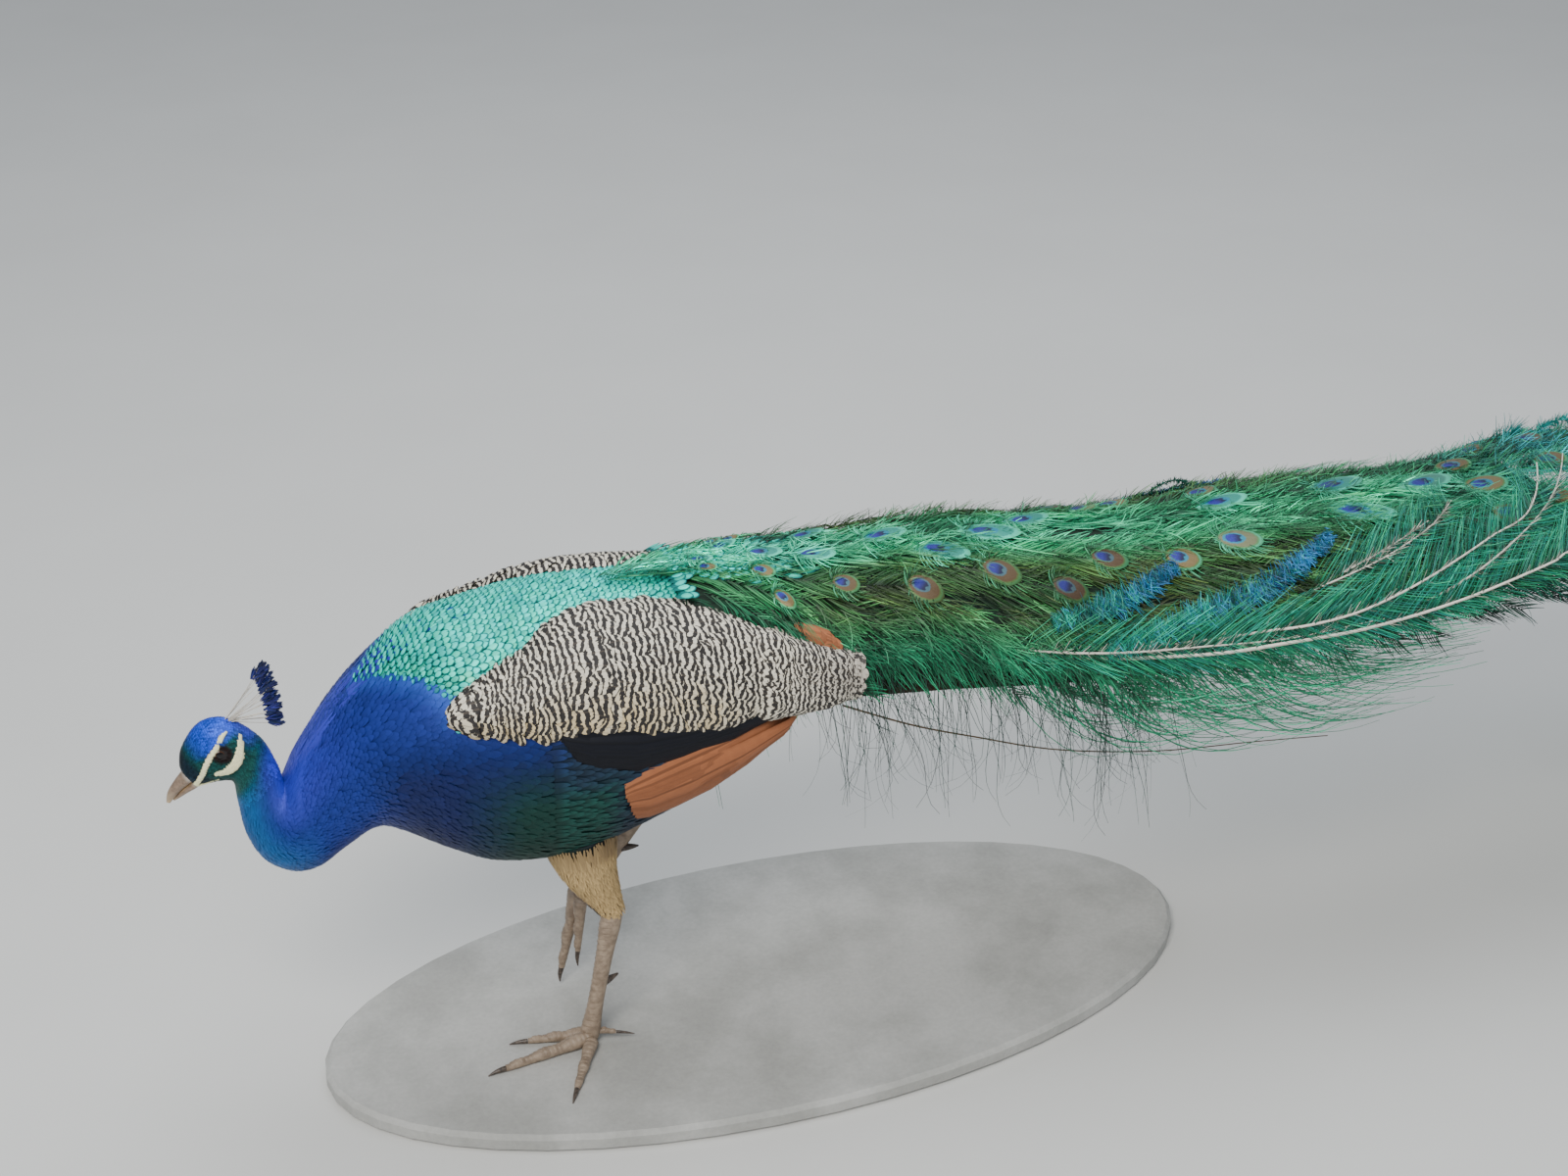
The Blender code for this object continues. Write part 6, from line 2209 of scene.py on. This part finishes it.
def make_tail():
    """Brown quills in a flat fan under the train."""
    rng = draws(121)
    x = np.linspace(0.0, TAIL_HEIGHT[-1][0], TAIL_ROWS)[:, None]
    v = np.linspace(-1.0, 1.0, TAIL_COLUMNS)
    surface = Surface(stacked(x, v * TAIL_HALF_WIDTH, along(x, TAIL_HEIGHT) - 0.006 * v**2))
    spread = np.linspace(-1.0, 1.0, TAIL_QUILLS)
    row = np.full(TAIL_QUILLS, 1.0)
    column = (TAIL_COLUMNS - 1) / 2.0 + spread * 9.0
    length = 0.375 - 0.055 * spread**2
    ground = np.array(TAIL_BROWN) * rng.uniform(0.8, 1.2, (TAIL_QUILLS, 1))
    part = vanes(
        surface, row, column, length, 0.0135, ground, form=QUILL_FORM, ribs=7,
        heading=spread * 0.15, root=0.001, tip=0.001 - 0.003 * np.abs(spread), camber=0.08,
        seed=122,
    )
    join_vanes("tail_quills", [part], flight_finish("tail_quill_finish"), ("tail",))


def base_finish():
    """The base's matt stone-grey paint, a little mottled, with the brush's fine relief."""
    made = Finish("stand_paint_finish", roughness=0.78)
    mottle = made.noise(9.0, 5.0, 0.6)
    speck = made.noise(240.0, 3.0, 0.6)
    colour = made.mix(mottle.between(0.32, 0.68), STONE_DARK, STONE_PALE)
    colour = made.shade(colour, speck * 0.30 + 0.85)
    return made.finish(colour, speck, depth=0.0004, strength=0.35)


def make_base():
    """The base's own solid in its paint."""
    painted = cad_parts["stand_base"].data.materials
    painted.clear()
    painted.append(base_finish())


def make_floor():
    """A plain grey floor under the base."""
    bpy.ops.mesh.primitive_plane_add(size=14.0, location=(0.0, 0.0, 0.0))
    floor = bpy.context.object
    floor.name = "floor"
    made = Finish("floor_finish", roughness=0.85)
    floor.data.materials.append(made.finish(made.mix(made.noise(3.0, 3.0), FLOOR_DARK, FLOOR_PALE)))


def make_light(name, place_at, aim_at, energy, size, tint):
    """A square lamp turned towards a point."""
    lamp = bpy.data.lights.new(name, "AREA")
    lamp.energy = energy
    lamp.size = size
    lamp.color = tint
    holder = add(name, lamp)
    holder.location = place_at
    holder.rotation_euler = (Vector(aim_at) - Vector(place_at)).to_track_quat("-Z", "Y").to_euler()


CAMERA_PLACE = (-0.601, -1.699, 1.393)
CAMERA_TURN = math.radians(-20.0)
CAMERA_DROP = math.radians(28.0)


def make_view():
    """The lights, the sky and the camera."""
    world = bpy.data.worlds.new("studio")
    bpy.context.scene.world = world
    world.use_nodes = True
    sky = world.node_tree.nodes["Background"]
    sky.inputs["Color"].default_value = (0.78, 0.84, 0.92, 1.0)
    sky.inputs["Strength"].default_value = 0.55
    make_light("key_light", (-1.4, -2.2, 3.0), (0.1, 0.0, 0.3), 130.0, 1.6, (1.0, 0.97, 0.92))
    make_light("top_light", (0.6, 0.8, 3.2), (0.1, 0.0, 0.3), 60.0, 2.4, (0.92, 0.96, 1.0))
    camera = bpy.data.cameras.new("camera")
    camera.sensor_width = 36.0
    camera.lens = 54.0
    holder = add("camera", camera)
    holder.location = CAMERA_PLACE
    level = math.cos(CAMERA_DROP)
    onward = (-math.sin(CAMERA_TURN) * level, math.cos(CAMERA_TURN) * level, -math.sin(CAMERA_DROP))
    holder.rotation_euler = Vector(onward).to_track_quat("-Z", "Y").to_euler()
    bpy.context.scene.camera = holder


BARRED = barred_finish()
DARK_FLIGHT = flight_finish("dark_flight_finish", 0.1)
CHESTNUT_FLIGHT = flight_finish("chestnut_flight_finish")

make_skin()
make_body_coats()
make_back()
make_wing(1.0, "left")
make_wing(-1.0, "right")
make_thigh_coats()
make_train()
make_bill()
make_eyes()
make_crest()
make_legs()
make_tail()
make_base()
make_floor()
make_view()
